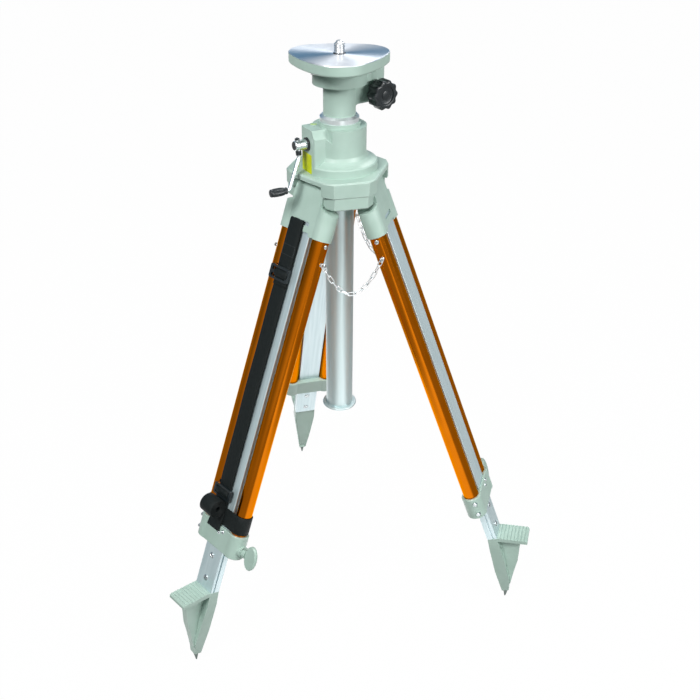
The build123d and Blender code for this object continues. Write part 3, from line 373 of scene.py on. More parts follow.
vary(tree, shader.inputs["Base Color"], noise(tree, 40, 5), (0.76, 0.79, 0.83), (0.86, 0.88, 0.91))
vary(tree, shader.inputs["Roughness"], rings.outputs["Fac"], 0.34, 0.42, 0.0, 1.0)
bump(tree, shader, rings.outputs["Fac"], 0.05, 0.0001)

head_plate = casting_copy("head_plate", 0.0006, 2)
head_plate.data.materials.append(faced)
least_rise, lowest_faced = 0.4, -0.0014
for face in head_plate.data.polygons:
    if face.normal.z > least_rise and face.center.z > lowest_faced:
        face.material_index = 1

# Fixing screw: steel, five-eighths thread with a plain stepped nose, turned from below by
# the gear on its spindle. A thin black ring round it on the plate is painted shade for the shadowed gap at
# its foot.
up_way, right_way, centre_spot = (0, 0, 1), (1, 0, 0), (0, 0, 0)
turned_crease = radians(35)


def lathe(name, profile, foot, axis, across, steps=48, lobes=0):
    """Solid of revolution: profile is (along, radius) or (along, radius, lobe depth) in mm."""
    axis, across = Vector(axis).normalized(), Vector(across).normalized()
    side = axis.cross(across)
    work = bmesh.new()
    rows = []
    for entry in profile:
        along, radius = entry[0], entry[1]
        lobe = entry[2] if len(entry) > 2 else 0.0
        centre = Vector(foot) + axis * (along * 0.001)
        if radius < 1e-6:
            rows.append([work.verts.new(centre)] * steps)
            continue
        row = []
        for i in range(steps):
            a = 2 * pi * i / steps
            r = (radius + lobe * cos(lobes * a)) * 0.001
            row.append(work.verts.new(centre + across * (r * cos(a)) + side * (r * sin(a))))
        rows.append(row)
    for low, high in zip(rows, rows[1:]):
        for i in range(steps):
            corner = [low[i], low[(i + 1) % steps], high[(i + 1) % steps], high[i]]
            corner = [v for j, v in enumerate(corner) if v not in corner[:j]]
            if len(corner) > 2:
                work.faces.new(corner)
    bmesh.ops.recalc_face_normals(work, faces=work.faces)
    for face in work.faces:
        face.smooth = True
    for edge in work.edges:
        edge.smooth = len(edge.link_faces) == 2 and edge.calc_face_angle(0) < turned_crease
    mesh = bpy.data.meshes.new(name)
    work.to_mesh(mesh)
    work.free()
    made = bpy.data.objects.new(name, mesh)
    bpy.context.scene.collection.objects.link(made)
    return made


def fit_out(piece, finish, body, slot, *nodes):
    """Give a piece its finish and its body, in place of the nodes it stands for."""
    piece.data.materials.clear()
    piece.data.materials.append(finish)
    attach(piece, body)
    if nodes:
        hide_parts(*nodes)


turned, tree, shader = material_named("turned_steel")
shader.inputs["Metallic"].default_value = 1.0
vary(tree, shader.inputs["Base Color"], noise(tree, 55, 4), (0.58, 0.60, 0.61), (0.70, 0.72, 0.73))
vary(tree, shader.inputs["Roughness"], noise(tree, 240, 5), 0.24, 0.42, stop=0.75)
bump(tree, shader, noise(tree, 900, 2, (1, 1, 6)), 0.08, 0.0002)

# Black for the ring at the screw's foot: painted shade for the shadowed gap there.
shade_black, tree, shader = material_named("painted_shade_black")
vary(tree, shader.inputs["Base Color"], noise(tree, 180, 4), (0.012, 0.013, 0.014), (0.024, 0.026, 0.028))
vary(tree, shader.inputs["Roughness"], noise(tree, 420, 3), 0.55, 0.75)
bump(tree, shader, noise(tree, 1400, 2), 0.1, 0.0002)

thread_pitch, thread_depth, thread_radius = 2.309, 0.95, 7.9375
thread_start, thread_end, thread_rows, run_out_length = 0.5, 13.6, 65, 2.0
flank_slope, flank_root = 2.4, 0.12
screw_profile = [
    (-68, 0), (-68, 4), (-26, 4), (-26, 7), (-16, 7), (-16, 13), (-10, 13), (-10, 7.2), (-0.3, 7.2),
]
screw_profile += [(thread_start + 0.2 * i, 7.9) for i in range(thread_rows)]
screw_profile += [(thread_end, 7.9), (15.4, 6.2), (15.6, 5.6), (17.4, 5.0), (18.5, 3.2), (18.8, 0)]
fixing_screw = lathe("fixing_screw_thread", screw_profile, centre_spot, up_way, right_way, 64)
for vertex in fixing_screw.data.vertices:
    level, radius = vertex.co.z * 1000, 1000 * sqrt(vertex.co.x**2 + vertex.co.y**2)
    if thread_start - 0.1 < level < thread_end - 0.05 and radius > 7.5:
        phase = (level / thread_pitch - atan2(vertex.co.y, vertex.co.x) / (2 * pi)) % 1.0
        flank = min(1.0, max(0.0, flank_slope * abs(phase - 0.5) - flank_root))
        run_out = min(1.0, (thread_end - level) / run_out_length)
        shrink = (thread_radius - thread_depth * (1 - flank) * run_out) / radius
        vertex.co.x *= shrink
        vertex.co.y *= shrink
fit_out(fixing_screw, turned, "screw", "steel", "fixing_screw")
# Painted shade: a thin black ring round the screw's foot stands in for the shadowed gap there.
screw_ring = lathe(
    "screw_ring",
    [(0, 8.15), (0, 9.0), (0.5, 9.1), (0.8, 8.9), (0.9, 8.5), (0.7, 8.15), (0, 8.15)],
    centre_spot, up_way, right_way, 48,
)
fit_out(screw_ring, shade_black, "column", "black")

# Fixing knob: a ten-lobed moulding in black phenolic on the flank of the head arm, hollowed
# on its face round a centre cap. It turns the fixing screw through the head gears.
phenolic, tree, shader = material_named("black_phenolic")
clouds = noise(tree, 60, 4)
vary(tree, shader.inputs["Base Color"], clouds, (0.006, 0.010, 0.012), (0.015, 0.021, 0.024), stop=0.75)
vary(tree, shader.inputs["Roughness"], noise(tree, 210, 4), 0.26, 0.42, stop=0.75)
bump(tree, shader, noise(tree, 1100, 2), 0.06, 0.0002)

head_azimuth = radians(35)
head_way = Vector((cos(head_azimuth), sin(head_azimuth), 0))
head_side = Vector((-sin(head_azimuth), cos(head_azimuth), 0))
knob_foot = head_way * 0.054 + Vector((0, 0, -0.060))
knob = lathe(
    "lobed_knob",
    [(24, 4.0), (24, 18.6, 0.9), (24.5, 20.0, 1.2), (26, 21.0, 1.4), (42.4, 21.0, 1.4), (43.8, 20.4, 1.3),
     (44.7, 19.2, 1.0), (45, 17.8, 0.6), (45, 14.4), (44.7, 13.9), (42.4, 13.4), (42.1, 12.9), (42.1, 6.6),
     (42.9, 6.2), (43.3, 5.2), (43.4, 0)],
    knob_foot, -head_side, head_way, 120, 10,
)
fit_out(knob, phenolic, "knob", "black", "fixing_knob")

# Column: a satin anodised aluminium tube drawn lengthways, with a turned lip at its foot and
# a bright guide collar on the housing. The rack runs in a slot on the crank side.
def dress(node, finish):
    """Give a solid that keeps its shape its finish."""
    mesh = frame["nodes"][node].data
    mesh.materials.clear()
    mesh.materials.append(finish)


satin, tree, shader = material_named("satin_column")
shader.inputs["Metallic"].default_value = 0.55
shader.inputs["Anisotropic"].default_value = 0.4
streaks = noise(tree, 130, 4, (1, 1, 0.03))
vary(tree, shader.inputs["Base Color"], streaks, (0.60, 0.73, 0.74), (0.70, 0.82, 0.83))
vary(tree, shader.inputs["Roughness"], noise(tree, 300, 4, (1, 1, 0.02)), 0.30, 0.44)
bump(tree, shader, noise(tree, 700, 3, (1, 1, 0.01)), 0.06, 0.0002)
for node in ("column_tube", "column_end"):
    dress(node, satin)
pale, tree, shader = material_named("pale_guide")
shader.inputs["Metallic"].default_value = 0.8
vary(tree, shader.inputs["Base Color"], noise(tree, 90, 4), (0.70, 0.76, 0.77), (0.80, 0.85, 0.86))
vary(tree, shader.inputs["Roughness"], noise(tree, 500, 3, (1, 1, 6)), 0.26, 0.38)
dress("guide_collar", pale)

bronze, tree, shader = material_named("bush_bronze")
shader.inputs["Metallic"].default_value = 1.0
vary(tree, shader.inputs["Base Color"], noise(tree, 80, 4), (0.36, 0.24, 0.10), (0.52, 0.37, 0.17))
vary(tree, shader.inputs["Roughness"], noise(tree, 300, 4), 0.3, 0.5)
dress("lower_bush", bronze)

# Inner mechanism: gears, shafts, rack, pins and screws in turned and cut steel, sealed inside
# the head, the lift housing and the shoulder.
for node in (
    "screw_gear", "head_pinion", "head_bevel", "knob_bevel", "knob_shaft", "plate_screws", "lift_rack",
    "lift_pinion", "lift_bevel", "crank_bevel", "hinge_pins", "cap_screws",
):
    dress(node, turned)

# Round level set in the top of the lift housing: a thin painted bezel, a domed window, a
# yellow-green spirit and its bubble. Below it on the flank is a plain yellow plate.
crank_azimuth = radians(208)
crank_way = Vector((cos(crank_azimuth), sin(crank_azimuth), 0))
crank_side = Vector((-sin(crank_azimuth), cos(crank_azimuth), 0))
level_foot = crank_way * 0.036 - crank_side * 0.0155 + Vector((0, 0, -0.104))
spirit, tree, shader = material_named("level_spirit")
shader.inputs["Roughness"].default_value = 0.08
shader.inputs["Coat Weight"].default_value = 0.6
vary(tree, shader.inputs["Base Color"], noise(tree, 300, 2), (0.50, 0.72, 0.24), (0.60, 0.80, 0.34))
bubble_tone, tree, shader = material_named("level_bubble")
shader.inputs["Roughness"].default_value = 0.05
vary(tree, shader.inputs["Base Color"], noise(tree, 500, 2), (0.66, 0.80, 0.42), (0.76, 0.88, 0.55))
bezel = lathe(
    "level_bezel",
    [(-4, 0), (-4, 5.95), (0.5, 5.95), (0.8, 5.8), (0.85, 5.6), (0.8, 5.5), (0.5, 5.45), (0.2, 0)],
    level_foot, up_way, right_way, 40,
)
fit_out(bezel, enamel, "base", "casting", "level_vial")
window = lathe(
    "level_window", [(0.3, 0), (0.3, 5.5), (0.62, 5.4), (0.85, 4.2), (1.05, 2.2), (1.12, 0)],
    level_foot, up_way, right_way, 40,
)
fit_out(window, spirit, "base", "vial", "level_vial")
bubble = lathe(
    "level_bubble", [(1.0, 0), (1.0, 1.5), (1.12, 1.4), (1.16, 1.0), (1.18, 0)],
    level_foot + Vector((0.0006, 0.0004, 0)), up_way, right_way, 24,
)
fit_out(bubble, bubble_tone, "base", "vial")

film, tree, shader = material_named("yellow_film")
shader.inputs["Roughness"].default_value = 0.4
shader.inputs["Specular IOR Level"].default_value = 0.2
vary(tree, shader.inputs["Base Color"], noise(tree, 90, 4), (0.55, 0.60, 0.003), (0.64, 0.68, 0.006))
bump(tree, shader, noise(tree, 260, 2), 0.08, 0.0003)
dress("label_plate", film)

# Crank: black flanged bush, nickel hub on its shaft, a bent nickel rod held by a grub screw
# and sleeved in black below the hub, and a fluted black grip that spins on its end.
nickel, tree, shader = material_named("bright_nickel")
shader.inputs["Metallic"].default_value = 1.0
vary(tree, shader.inputs["Base Color"], noise(tree, 70, 4), (0.68, 0.73, 0.74), (0.80, 0.84, 0.85))
vary(tree, shader.inputs["Roughness"], noise(tree, 260, 4), 0.24, 0.36, stop=0.75)
bump(tree, shader, noise(tree, 800, 2), 0.05, 0.0002)
casting_copy("crank_shaft", 0.0006, 2, paint=nickel)
dress("crank_arm", nickel)
dress("crank_bush", phenolic)
hub_foot = -crank_side * 0.001 + Vector((0, 0, -0.127))
hub_cap = lathe(
    "hub_cap", [(75.6, 0), (75.6, 6.4), (76.6, 6.4), (77.0, 6.0), (77.0, 3.0), (76.7, 2.6), (76.7, 0)],
    hub_foot, crank_way, up_way, 40,
)
fit_out(hub_cap, phenolic, "crank", "black")
arm_lean = radians(12)
arm_way = crank_side * sin(arm_lean) - Vector((0, 0, cos(arm_lean)))
rod_foot = hub_foot + crank_way * 0.070
rod_sleeve = lathe(
    "rod_sleeve", [(7.6, 3.25), (7.6, 4.1), (8.2, 4.5), (14.0, 4.3), (14.6, 3.9), (14.6, 3.25)],
    rod_foot, arm_way, crank_way, 32,
)
fit_out(rod_sleeve, phenolic, "crank", "black")
grub_screw = lathe(
    "grub_screw",
    [(-11.8, 0), (-11.8, 1.2), (-10.9, 1.3), (-10.9, 2.8), (-10.4, 3.6), (-8.2, 3.7), (-7.6, 3.4)],
    rod_foot, arm_way, crank_way, 32,
)
fit_out(grub_screw, phenolic, "crank", "black")
grip_foot = hub_foot + arm_way * 0.0635
grip = lathe(
    "fluted_grip",
    [(96, 3.3), (96, 4.6), (96.5, 5.2), (97.6, 5.4), (98.6, 5.0), (99.6, 4.9), (101, 5.5, 0.2),
     (106, 6.1, 0.35), (113, 6.25, 0.35), (119, 6.0, 0.35), (120.6, 5.7, 0.1), (121.2, 5.9), (122.6, 6.0),
     (123.6, 5.2), (124, 3.4), (124, 0)],
    grip_foot, crank_way, up_way, 72, 12,
)
fit_out(grip, phenolic, "grip", "black", "crank_grip")

# Outer leg tubes: two drawn aluminium tubes to a leg, anodised deep gold, with the long dull
# streaks of the drawing die and a little handling haze.
def drawn(tree, k, scale, detail, length=25.0):
    """Noise drawn out along leg k, in features to the metre across it."""
    spot = tree.nodes.new("ShaderNodeTexCoord")
    turn = tree.nodes.new("ShaderNodeMapping")
    turn.vector_type = "TEXTURE"
    azimuth = radians(first_azimuth + 120 * (k - 1))
    turn.inputs["Rotation"].default_value = (0, -radians(leg_spreads[k - 1]), azimuth)
    turn.inputs["Scale"].default_value = (1, 1, length)
    tree.links.new(spot.outputs["Object"], turn.inputs["Vector"])
    grain = tree.nodes.new("ShaderNodeTexNoise")
    grain.inputs["Scale"].default_value = scale
    grain.inputs["Detail"].default_value = detail
    tree.links.new(turn.outputs[0], grain.inputs["Vector"])
    return grain.outputs["Fac"]


for k in (1, 2, 3):
    gold, tree, shader = material_named(f"gold_anodise_{k}")
    shader.inputs["Metallic"].default_value = 1.0
    shader.inputs["Specular Tint"].default_value = (1.0, 0.72, 0.20, 1)
    haze = ramp(tree, noise(tree, 14, 4), ((0.3, (0.42, 0.108, 0.002)), (0.7, (0.49, 0.132, 0.004))))
    streaks = ramp(tree, drawn(tree, k, 260, 4), ((0.35, 0.0), (0.8, 0.35)))
    tree.links.new(blend_colours(tree, streaks, haze, (0.47, 0.120, 0.002)), shader.inputs["Base Color"])
    vary(tree, shader.inputs["Roughness"], drawn(tree, k, 340, 4), 0.15, 0.22, stop=0.72)
    bump(tree, shader, drawn(tree, k, 700, 3, 40.0), 0.04, 0.0001)
    dress(f"leg_tubes_{k}", gold)

# Sliding inner legs: pale anodised bars with a groove down each side, fine-scratched along
# their length where they pass through the collars.
for k in (1, 2, 3):
    bar_metal, tree, shader = material_named(f"bar_anodise_{k}")
    shader.inputs["Metallic"].default_value = 0.5
    scratches = drawn(tree, k, 220, 5)
    vary(tree, shader.inputs["Base Color"], scratches, (0.52, 0.64, 0.67), (0.64, 0.75, 0.78), 0.28, 0.72)
    vary(tree, shader.inputs["Roughness"], drawn(tree, k, 420, 4), 0.30, 0.46, stop=0.72)
    bump(tree, shader, drawn(tree, k, 900, 3, 40.0), 0.08, 0.0002)
    dress(f"inner_leg_{k}", bar_metal)

# Small fixings of the legs: domed rivets and chain studs on the tubes, pins and cross-head
# screws in the collars, slotted bolts through the inner legs, all in plated steel and set out
# by a node tree that stands a head on each marked spot. The spikes are forged and dark.
plated, tree, shader = material_named("plated_steel")
shader.inputs["Metallic"].default_value = 1.0
vary(tree, shader.inputs["Base Color"], noise(tree, 90, 4), (0.40, 0.44, 0.45), (0.52, 0.56, 0.57))
vary(tree, shader.inputs["Roughness"], noise(tree, 300, 4), 0.20, 0.32, stop=0.75)
forged, tree, shader = material_named("forged_spike")
shader.inputs["Metallic"].default_value = 0.5
vary(tree, shader.inputs["Base Color"], noise(tree, 120, 4), (0.07, 0.10, 0.09), (0.13, 0.165, 0.15))
vary(tree, shader.inputs["Roughness"], noise(tree, 300, 4), 0.45, 0.60, stop=0.75)

set_out_tree = bpy.data.node_groups.new("heads_on_spots", "GeometryNodeTree")
set_out_tree.is_modifier = True
socket_ids = {}
for label, way, kind in (
    ("Spots", "INPUT", "NodeSocketGeometry"), ("Head", "INPUT", "NodeSocketObject"),
    ("Finish", "INPUT", "NodeSocketMaterial"), ("Heads", "OUTPUT", "NodeSocketGeometry"),
):
    socket_ids[label] = set_out_tree.interface.new_socket(label, in_out=way, socket_type=kind).identifier
given = set_out_tree.nodes.new("NodeGroupInput")
result = set_out_tree.nodes.new("NodeGroupOutput")
head_info = set_out_tree.nodes.new("GeometryNodeObjectInfo")
set_out_tree.links.new(given.outputs["Head"], head_info.inputs["Object"])
facing = set_out_tree.nodes.new("FunctionNodeAxesToRotation")
facing.primary_axis, facing.secondary_axis = "Z", "X"
for label, socket in (("up", "Primary Axis"), ("along", "Secondary Axis")):
    read = set_out_tree.nodes.new("GeometryNodeInputNamedAttribute")
    read.data_type = "FLOAT_VECTOR"
    read.inputs["Name"].default_value = label
    set_out_tree.links.new(read.outputs["Attribute"], facing.inputs[socket])
stand = set_out_tree.nodes.new("GeometryNodeInstanceOnPoints")
set_out_tree.links.new(given.outputs["Spots"], stand.inputs["Points"])
set_out_tree.links.new(head_info.outputs["Geometry"], stand.inputs["Instance"])
set_out_tree.links.new(facing.outputs["Rotation"], stand.inputs["Rotation"])
real = set_out_tree.nodes.new("GeometryNodeRealizeInstances")
set_out_tree.links.new(stand.outputs["Instances"], real.inputs["Geometry"])
coat = set_out_tree.nodes.new("GeometryNodeSetMaterial")
set_out_tree.links.new(real.outputs["Geometry"], coat.inputs["Geometry"])
set_out_tree.links.new(given.outputs["Finish"], coat.inputs["Material"])
set_out_tree.links.new(coat.outputs["Geometry"], result.inputs["Heads"])


def set_out(name, spots, head, finish):
    """Plain mesh of a head standing at each spot: (place, way up, way along)."""
    marks = bpy.data.meshes.new(name + "_spots")
    marks.from_pydata([spot[0] for spot in spots], [], [])
    for label, column in (("up", 1), ("along", 2)):
        layer = marks.attributes.new(label, "FLOAT_VECTOR", "POINT")
        for i, spot in enumerate(spots):
            layer.data[i].vector = spot[column]
    holder = bpy.data.objects.new(name + "_spots", marks)
    change = holder.modifiers.new("heads_on_spots", "NODES")
    change.node_group = set_out_tree
    change[socket_ids["Head"]] = head
    change[socket_ids["Finish"]] = finish
    bpy.context.scene.collection.objects.link(holder)
    graph = bpy.context.evaluated_depsgraph_get()
    mesh = bpy.data.meshes.new_from_object(holder.evaluated_get(graph), depsgraph=graph)
    bpy.data.objects.remove(holder)
    made = bpy.data.objects.new(name, mesh)
    bpy.context.scene.collection.objects.link(made)
    return made


dome_rows, dome_drop, rim_share, slot_half, slot_depth = 11, 0.94, 0.12, 0.17, 0.00042


def recessed_head(name, radius, height, cross):
    """Domed head at the origin with a slot or cross pressed into its top, in mm."""
    profile = [(-0.3, 0), (-0.3, radius), (rim_share * height, radius)]
    for r in range(dome_rows - 1, -1, -1):
        profile.append((height * sqrt(1 - dome_drop * (r / dome_rows) ** 2), radius * r / dome_rows))
    made = lathe(name, profile, centre_spot, up_way, right_way, 40)
    slot_reach = (0.62 if cross else 0.9) * radius
    for vertex in made.data.vertices:
        x, y = abs(vertex.co.x) * 1000, abs(vertex.co.y) * 1000
        near = min(x, y) if cross else x
        if vertex.co.z > 0 and near < slot_half * radius and (x * x + y * y) ** 0.5 < slot_reach:
            vertex.co.z -= slot_depth * height
    return made


def on_leg(k, out, across, down):
    """Point on leg k in mm: out from it, across it, down it from the hinge."""
    hinge, outward, sideways, upward = leg_axes(k)
    return hinge + (outward * out + sideways * across - upward * down) * 0.001


leg_shifts = (0.4, 7.6, -6.3)
tube_side, rivet_level, stud_level = 48.9, 80, 108
rivet_radius, rivet_height = 3.6, 1.8
rivet = recessed_head("rivet_head", rivet_radius, rivet_height, False)
for vertex in rivet.data.vertices:
    radius = 1000 * sqrt(vertex.co.x**2 + vertex.co.y**2)
    if vertex.co.z > 0.0001:
        fall = max(0.02, 1 - dome_drop * (radius / rivet_radius) ** 2)
        vertex.co.z = 0.001 * rivet_height * sqrt(fall)
stud = lathe(
    "chain_stud",
    [(-0.3, 0), (-0.3, 3.2), (0.9, 3.2), (1.6, 2.6), (1.6, 1.0), (7.6, 1.0), (7.6, 2.6), (8.0, 3.0),
     (8.8, 2.9), (9.4, 1.8), (9.4, 0)],
    centre_spot, up_way, right_way, 28,
)
pin = lathe(
    "collar_pin", [(0, 0), (0, 3.9), (4.6, 3.9), (5.4, 3.2), (5.4, 1.9), (4.8, 1.6), (4.8, 0)],
    centre_spot, up_way, right_way, 32,
)
cross_screw = recessed_head("cross_screw", 3.5, 2.0, True)
slot_bolt = recessed_head("slot_bolt", 5.4, 2.4, False)
collar_face, spike_out, spike_level, tip_out, tip_level = 16.5, -12.0, 848, -19.3, 868
for k in (1, 2, 3):
    hinge, outward, sideways, upward = leg_axes(k)
    shift = leg_shifts[k - 1]
    groups = [
        ("tube_rivets", rivet, [
            (on_leg(k, 0, s * tube_side, rivet_level), sideways * s, upward) for s in (-1, 1)
        ]),
        ("chain_studs", stud, [
            (on_leg(k, 0, s * tube_side, stud_level), sideways * s, upward) for s in (-1, 1)
        ]),
        ("collar_pins", pin, [(on_leg(k, 7, -49.0, d), -sideways, upward) for d in (595, 617)]),
        ("collar_screws", cross_screw, [
            (on_leg(k, collar_face, 5, 597), outward, (upward + sideways * 0.4).normalized()),
            (on_leg(k, collar_face, 14, 592), outward, (upward - sideways * 0.7).normalized()),
        ]),
    ]
    for name, head, spots in groups:
        heads = set_out(f"{name}_{k}", spots, head, plated)
        fit_out(heads, plated, f"leg_{k}", "nickel", f"leg_fasteners_{k}")
    bolts = [
        (on_leg(k, level, 0, down - shift), outward * way, (upward + sideways * lean).normalized())
        for level, way in ((12.5, 1), (-6.0, -1)) for down, lean in ((646, 0.8), (690, -0.5))
    ]
    heads = set_out(f"shoe_bolts_{k}", bolts, slot_bolt, plated)
    fit_out(heads, plated, f"foot_{k}", "steel", f"shoe_fittings_{k}")
    spike = lathe(
        f"ground_spike_{k}",
        [(14, 0), (14, 3.0), (0.0, 3.0), (0.0, 5.4), (-0.8, 5.6), (-3.0, 4.6), (-17.5, 1.5), (-19.6, 0.9),
         (-20, 0)],
        on_leg(k, spike_out, 0, spike_level - shift),
        (on_leg(k, spike_out, 0, spike_level) - on_leg(k, tip_out, 0, tip_level)).normalized(),
        sideways, 28,
    )
    fit_out(spike, forged, f"foot_{k}", "steel", f"shoe_fittings_{k}")
for head in (rivet, stud, pin, cross_screw, slot_bolt):
    bpy.data.objects.remove(head)

# Carrying strap of the front left leg: black nylon webbing let through the bracket slot and
# doubled back through a ladder buckle, run down the leg and wrapped above the collar. The
# spare tail is rolled up over the wrap under a second buckle.
webbing, tree, shader = material_named("black_webbing")
shader.inputs["Sheen Weight"].default_value = 0.05
shader.inputs["Sheen Roughness"].default_value = 0.5
shader.inputs["Sheen Tint"].default_value = (0.35, 0.42, 0.45, 1)
shader.inputs["Specular IOR Level"].default_value = 0.18
laid = tree.nodes.new("ShaderNodeUVMap")
laid.uv_map = "webbing"
weave = []
for direction, scale in (("X", 190.0), ("Y", 300.0)):
    wave = tree.nodes.new("ShaderNodeTexWave")
    wave.wave_type, wave.bands_direction = "BANDS", direction
    wave.inputs["Scale"].default_value = scale
    wave.inputs["Distortion"].default_value = 0.3
    tree.links.new(laid.outputs["UV"], wave.inputs["Vector"])
    weave.append(wave.outputs["Fac"])
crossed = combine(tree, "MULTIPLY", weave[0], weave[1])
vary(tree, shader.inputs["Base Color"], crossed, (0.003, 0.005, 0.005), (0.010, 0.015, 0.015), 0.05, 0.8)
vary(tree, shader.inputs["Roughness"], noise(tree, 160, 4), 0.50, 0.68)
bump(tree, shader, crossed, 0.55, 0.0004)

web_thickness, web_edge = 1.6, 0.0006


def web_strip(name, path, width_way, width, closed=False):
    """Flat webbing along points in metres, its width along one way, with its own weave map."""
    half_wide, half_thick = width * 0.0005, web_thickness * 0.0005
    section = [
        (-half_wide, 0.35 * half_thick), (-half_wide + web_edge, half_thick),
        (-0.3 * half_wide, 1.06 * half_thick), (0.3 * half_wide, 1.06 * half_thick),
        (half_wide - web_edge, half_thick), (half_wide, 0.35 * half_thick),
    ]
    section += [(x, -y) for x, y in reversed(section)]
    work = bmesh.new()
    layer = work.loops.layers.uv.new("webbing")
    rows, lengths = [], [0.0]
    for i, spot in enumerate(path):
        before = path[i - 1] if i or closed else path[0]
        after = path[(i + 1) % len(path)] if i + 1 < len(path) or closed else path[-1]
        face_way = (after - before).normalized().cross(width_way).normalized()
        rows.append([work.verts.new(spot + width_way * x + face_way * y) for x, y in section])
        if i:
            lengths.append(lengths[-1] + (spot - path[i - 1]).length)
    spans = list(range(len(rows) - 1)) + ([len(rows) - 1] if closed else [])
    for i in spans:
        low, high = rows[i], rows[(i + 1) % len(rows)]
        start = lengths[i]
        stop = lengths[i + 1] if i + 1 < len(lengths) else lengths[i] + (path[0] - path[-1]).length
        for j in range(len(section)):
            m = (j + 1) % len(section)
            face = work.faces.new((low[j], low[m], high[m], high[j]))
            face.smooth = True
            for loop, (x, along) in zip(face.loops, ((j, start), (m, start), (m, stop), (j, stop))):
                loop[layer].uv = (section[x][0], along)
    if not closed:
        work.faces.new(rows[0])
        work.faces.new(rows[-1])
    bmesh.ops.recalc_face_normals(work, faces=work.faces)
    mesh = bpy.data.meshes.new(name)
    work.to_mesh(mesh)
    work.free()
    made = bpy.data.objects.new(name, mesh)
    bpy.context.scene.collection.objects.link(made)
    fit_out(made, webbing, "leg_1", "webbing", "leg_strap")


slack_start, slack_length, lift, ripple, ripples = 160, 380, 0.7, 0.35, 5.3


def slack(down):
    """Small lift of the hanging strap between its holds, mm."""
    share = min(1.0, max(0.0, (down - slack_start) / slack_length))
    return lift * sin(pi * share) + ripple * sin(ripples * pi * share)


hinge, outward, sideways, upward = leg_axes(1)
strap_line, strap_width = -8.0, 30
run = [(12.9, 55.0), (14.4, 54.8), (15.4, 55.2), (16.0, 56.4), (16.0, 58.5)]
run += [(16.0 + slack(down), down) for down in range(64, 584, 6)]
web_strip("strap_run", [on_leg(1, n, strap_line, d) for n, d in run], sideways, strap_width)
doubled = [(16.2, 53.4), (17.2, 54.0), (17.75, 56.0)] + [(17.75, d) for d in range(60, 132, 6)]
doubled += [
    (17.8, 134.5), (18.6, 136.6), (20.6, 138.6), (22.0, 140.2), (22.45, 141.8), (22.45, 145.2),
    (22.0, 146.8), (20.6, 148.4), (18.6, 150.4), (17.8, 152.5), (17.9, 158), (18.4, 162),
]
web_strip("strap_double", [on_leg(1, n, strap_line, d) for n, d in doubled], sideways, 29.4)
tube_centre, wrap_radius, wrap_level, round_steps, flat_steps = 35.4, 14.55, 566, 16, 8
wrap = []
for centre, start in ((tube_centre, -90), (-tube_centre, 90)):
    for i in range(round_steps + 1):
        a = radians(start + 180 * i / round_steps)
        wrap.append(on_leg(1, -wrap_radius * sin(a), centre + wrap_radius * cos(a), wrap_level))
    flat_out = -wrap_radius if centre > 0 else wrap_radius
    for i in range(1, flat_steps):
        share = i / flat_steps
        wrap.append(on_leg(1, flat_out, centre * (1 - 2 * share), wrap_level))
web_strip("strap_wrap", wrap, upward, 32, closed=True)
roll_out, roll_down, roll_radius, roll_pitch, roll_turns, roll_steps = 34.0, 549.5, 16.65, 2.4, 5, 24
tail = [
    (17.5, 517), (18.8, 520.2), (21.2, 522.8), (22.3, 524.6), (22.45, 526.5), (22.3, 528.4), (21.2, 530.2),
    (18.8, 532.8), (17.75, 536), (17.6, 543),
]
for i in range(1, roll_turns * roll_steps + 1):
    a = pi + 2 * pi * i / roll_steps
    radius = roll_radius - roll_pitch * i / roll_steps
    tail.append((roll_out + radius * cos(a), roll_down - radius * sin(a)))
web_strip("strap_roll", [on_leg(1, n, strap_line, d) for n, d in tail], sideways, strap_width)
flap = [(17.6, 560), (17.7, 568), (18.3, 576), (19.3, 584), (20.6, 590), (21.2, 593.5)]
web_strip("strap_flap", [on_leg(1, n, strap_line, d) for n, d in flap], sideways, strap_width)
casting_copy("strap_buckles", 0.0009, 3, paint=phenolic)

thread_tone, tree, shader = material_named("strap_thread")
vary(tree, shader.inputs["Base Color"], noise(tree, 900, 2), (0.020, 0.024, 0.026), (0.050, 0.056, 0.060))
vary(tree, shader.inputs["Roughness"], noise(tree, 700, 2), 0.5, 0.65)
stitch = lathe(
    "stitch", [(-1.0, 0), (-0.8, 0.28), (0, 0.36), (0.8, 0.28), (1.0, 0)], centre_spot, up_way, right_way, 8
)
seam_face, seam_levels, seam_edge = 18.62, (96, 112), 12.6
seams = [
    (on_leg(1, seam_face, strap_line - 11.5 + 2.55 * i, down), sideways, outward)
    for down in seam_levels for i in range(10)
] + [
    (on_leg(1, seam_face, strap_line + edge, seam_levels[0] + 2.6 * i), upward, outward)
    for edge in (-seam_edge, seam_edge) for i in range(7)
]
stitches = set_out("strap_stitches", seams, stitch, thread_tone)
fit_out(stitches, thread_tone, "leg_1", "webbing", "leg_strap")
bpy.data.objects.remove(stitch)

# Spread chains: thirteen bright wire links hang from stud to stud between each pair of legs
# and stop the legs from sliding out. Each chain is built in two halves, one at each leg.
bend_steps, wire_sides = 8, 8


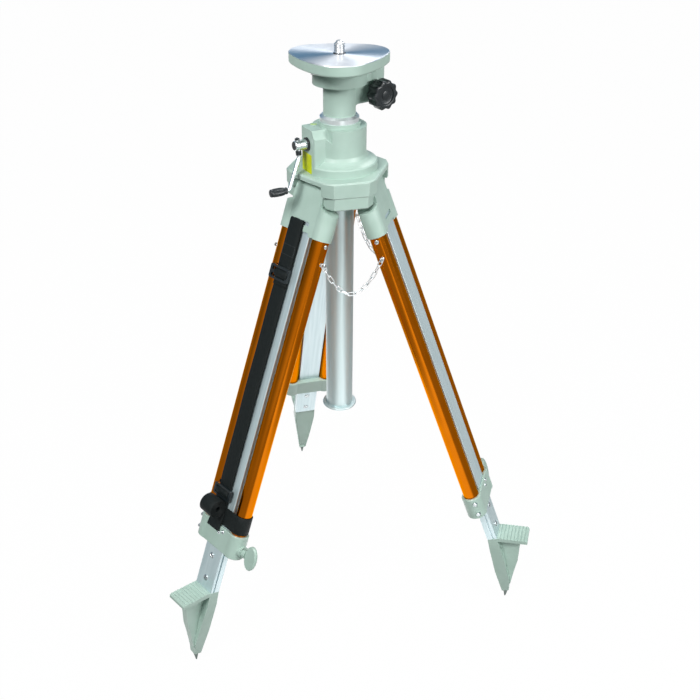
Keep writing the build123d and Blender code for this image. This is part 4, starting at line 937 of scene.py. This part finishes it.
def wire_link(name, length, width, wire):
    """Straight-sided link of round wire at the origin, long in X, flat in XY, mm."""
    bend, straight = (width - wire) / 2, (length - width) / 2
    line = []
    for end in (1, -1):
        for i in range(bend_steps + 1):
            a = radians(-90 + 180 * i / bend_steps)
            line.append((end * (straight + bend * cos(a)), end * bend * sin(a), end * cos(a), end * sin(a)))
    work = bmesh.new()
    rows = []
    for x, y, out_x, out_y in line:
        row = []
        for j in range(wire_sides):
            a = 2 * pi * j / wire_sides
            side, rise = wire / 2 * cos(a), wire / 2 * sin(a)
            row.append(work.verts.new(((x + out_x * side) * 0.001, (y + out_y * side) * 0.001, rise * 0.001)))
        rows.append(row)
    for i, low in enumerate(rows):
        high = rows[(i + 1) % len(rows)]
        for j in range(wire_sides):
            m = (j + 1) % wire_sides
            work.faces.new((low[j], low[m], high[m], high[j])).smooth = True
    bmesh.ops.recalc_face_normals(work, faces=work.faces)
    mesh = bpy.data.meshes.new(name)
    work.to_mesh(mesh)
    work.free()
    made = bpy.data.objects.new(name, mesh)
    bpy.context.scene.collection.objects.link(made)
    return made


def hang(start, end, sag, share):
    """Point on the hanging curve, a share of the way across."""
    return start + (end - start) * share - Vector((0, 0, 4 * sag * share * (1 - share)))


link_count, link_step, first_step = 13, 0.0117, 0.0045
chain_length = 2 * first_step + (link_count - 1) * link_step
near_links, stud_reach, most_sag, curve_steps, look_ahead = 7, 53.5, 0.120, 200, 0.04
link = wire_link("chain_link", 16.0, 7.4, 1.75)
for k in (1, 2, 3):
    following = k % 3 + 1
    start, end = on_leg(k, 0, stud_reach, stud_level), on_leg(following, 0, -stud_reach, stud_level)
    low, high = 0.0, most_sag
    for _ in range(40):
        sag = (low + high) / 2
        marks = [hang(start, end, sag, i / curve_steps) for i in range(curve_steps + 1)]
        measured = sum((marks[i + 1] - marks[i]).length for i in range(curve_steps))
        low, high = (sag, high) if measured < chain_length else (low, sag)
    runs = [0.0]
    for i in range(curve_steps):
        runs.append(runs[-1] + (marks[i + 1] - marks[i]).length)
    flat_way = (end - start).cross(Vector(up_way)).normalized()
    spots = []
    for i in range(link_count):
        walked = first_step + i * link_step
        at = max(j for j in range(curve_steps) if runs[j] <= walked)
        share = (at + (walked - runs[at]) / (runs[at + 1] - runs[at])) / curve_steps
        ahead, back = hang(start, end, sag, share + look_ahead), hang(start, end, sag, share - look_ahead)
        along = (ahead - back).normalized()
        up = flat_way.cross(along).normalized() if i % 2 else flat_way
        spots.append((hang(start, end, sag, share), up, along))
    for label, part, body, hold in (
        ("near", spots[:near_links], f"leg_{k}", start), ("far", spots[near_links:], f"leg_{following}", end),
    ):
        half = set_out(f"chain_{k}_{label}", part, link, nickel)
        half.data.materials.clear()
        half.data.materials.append(nickel)
        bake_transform(half)
        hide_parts(f"spread_chain_{k}")
bpy.data.objects.remove(link)
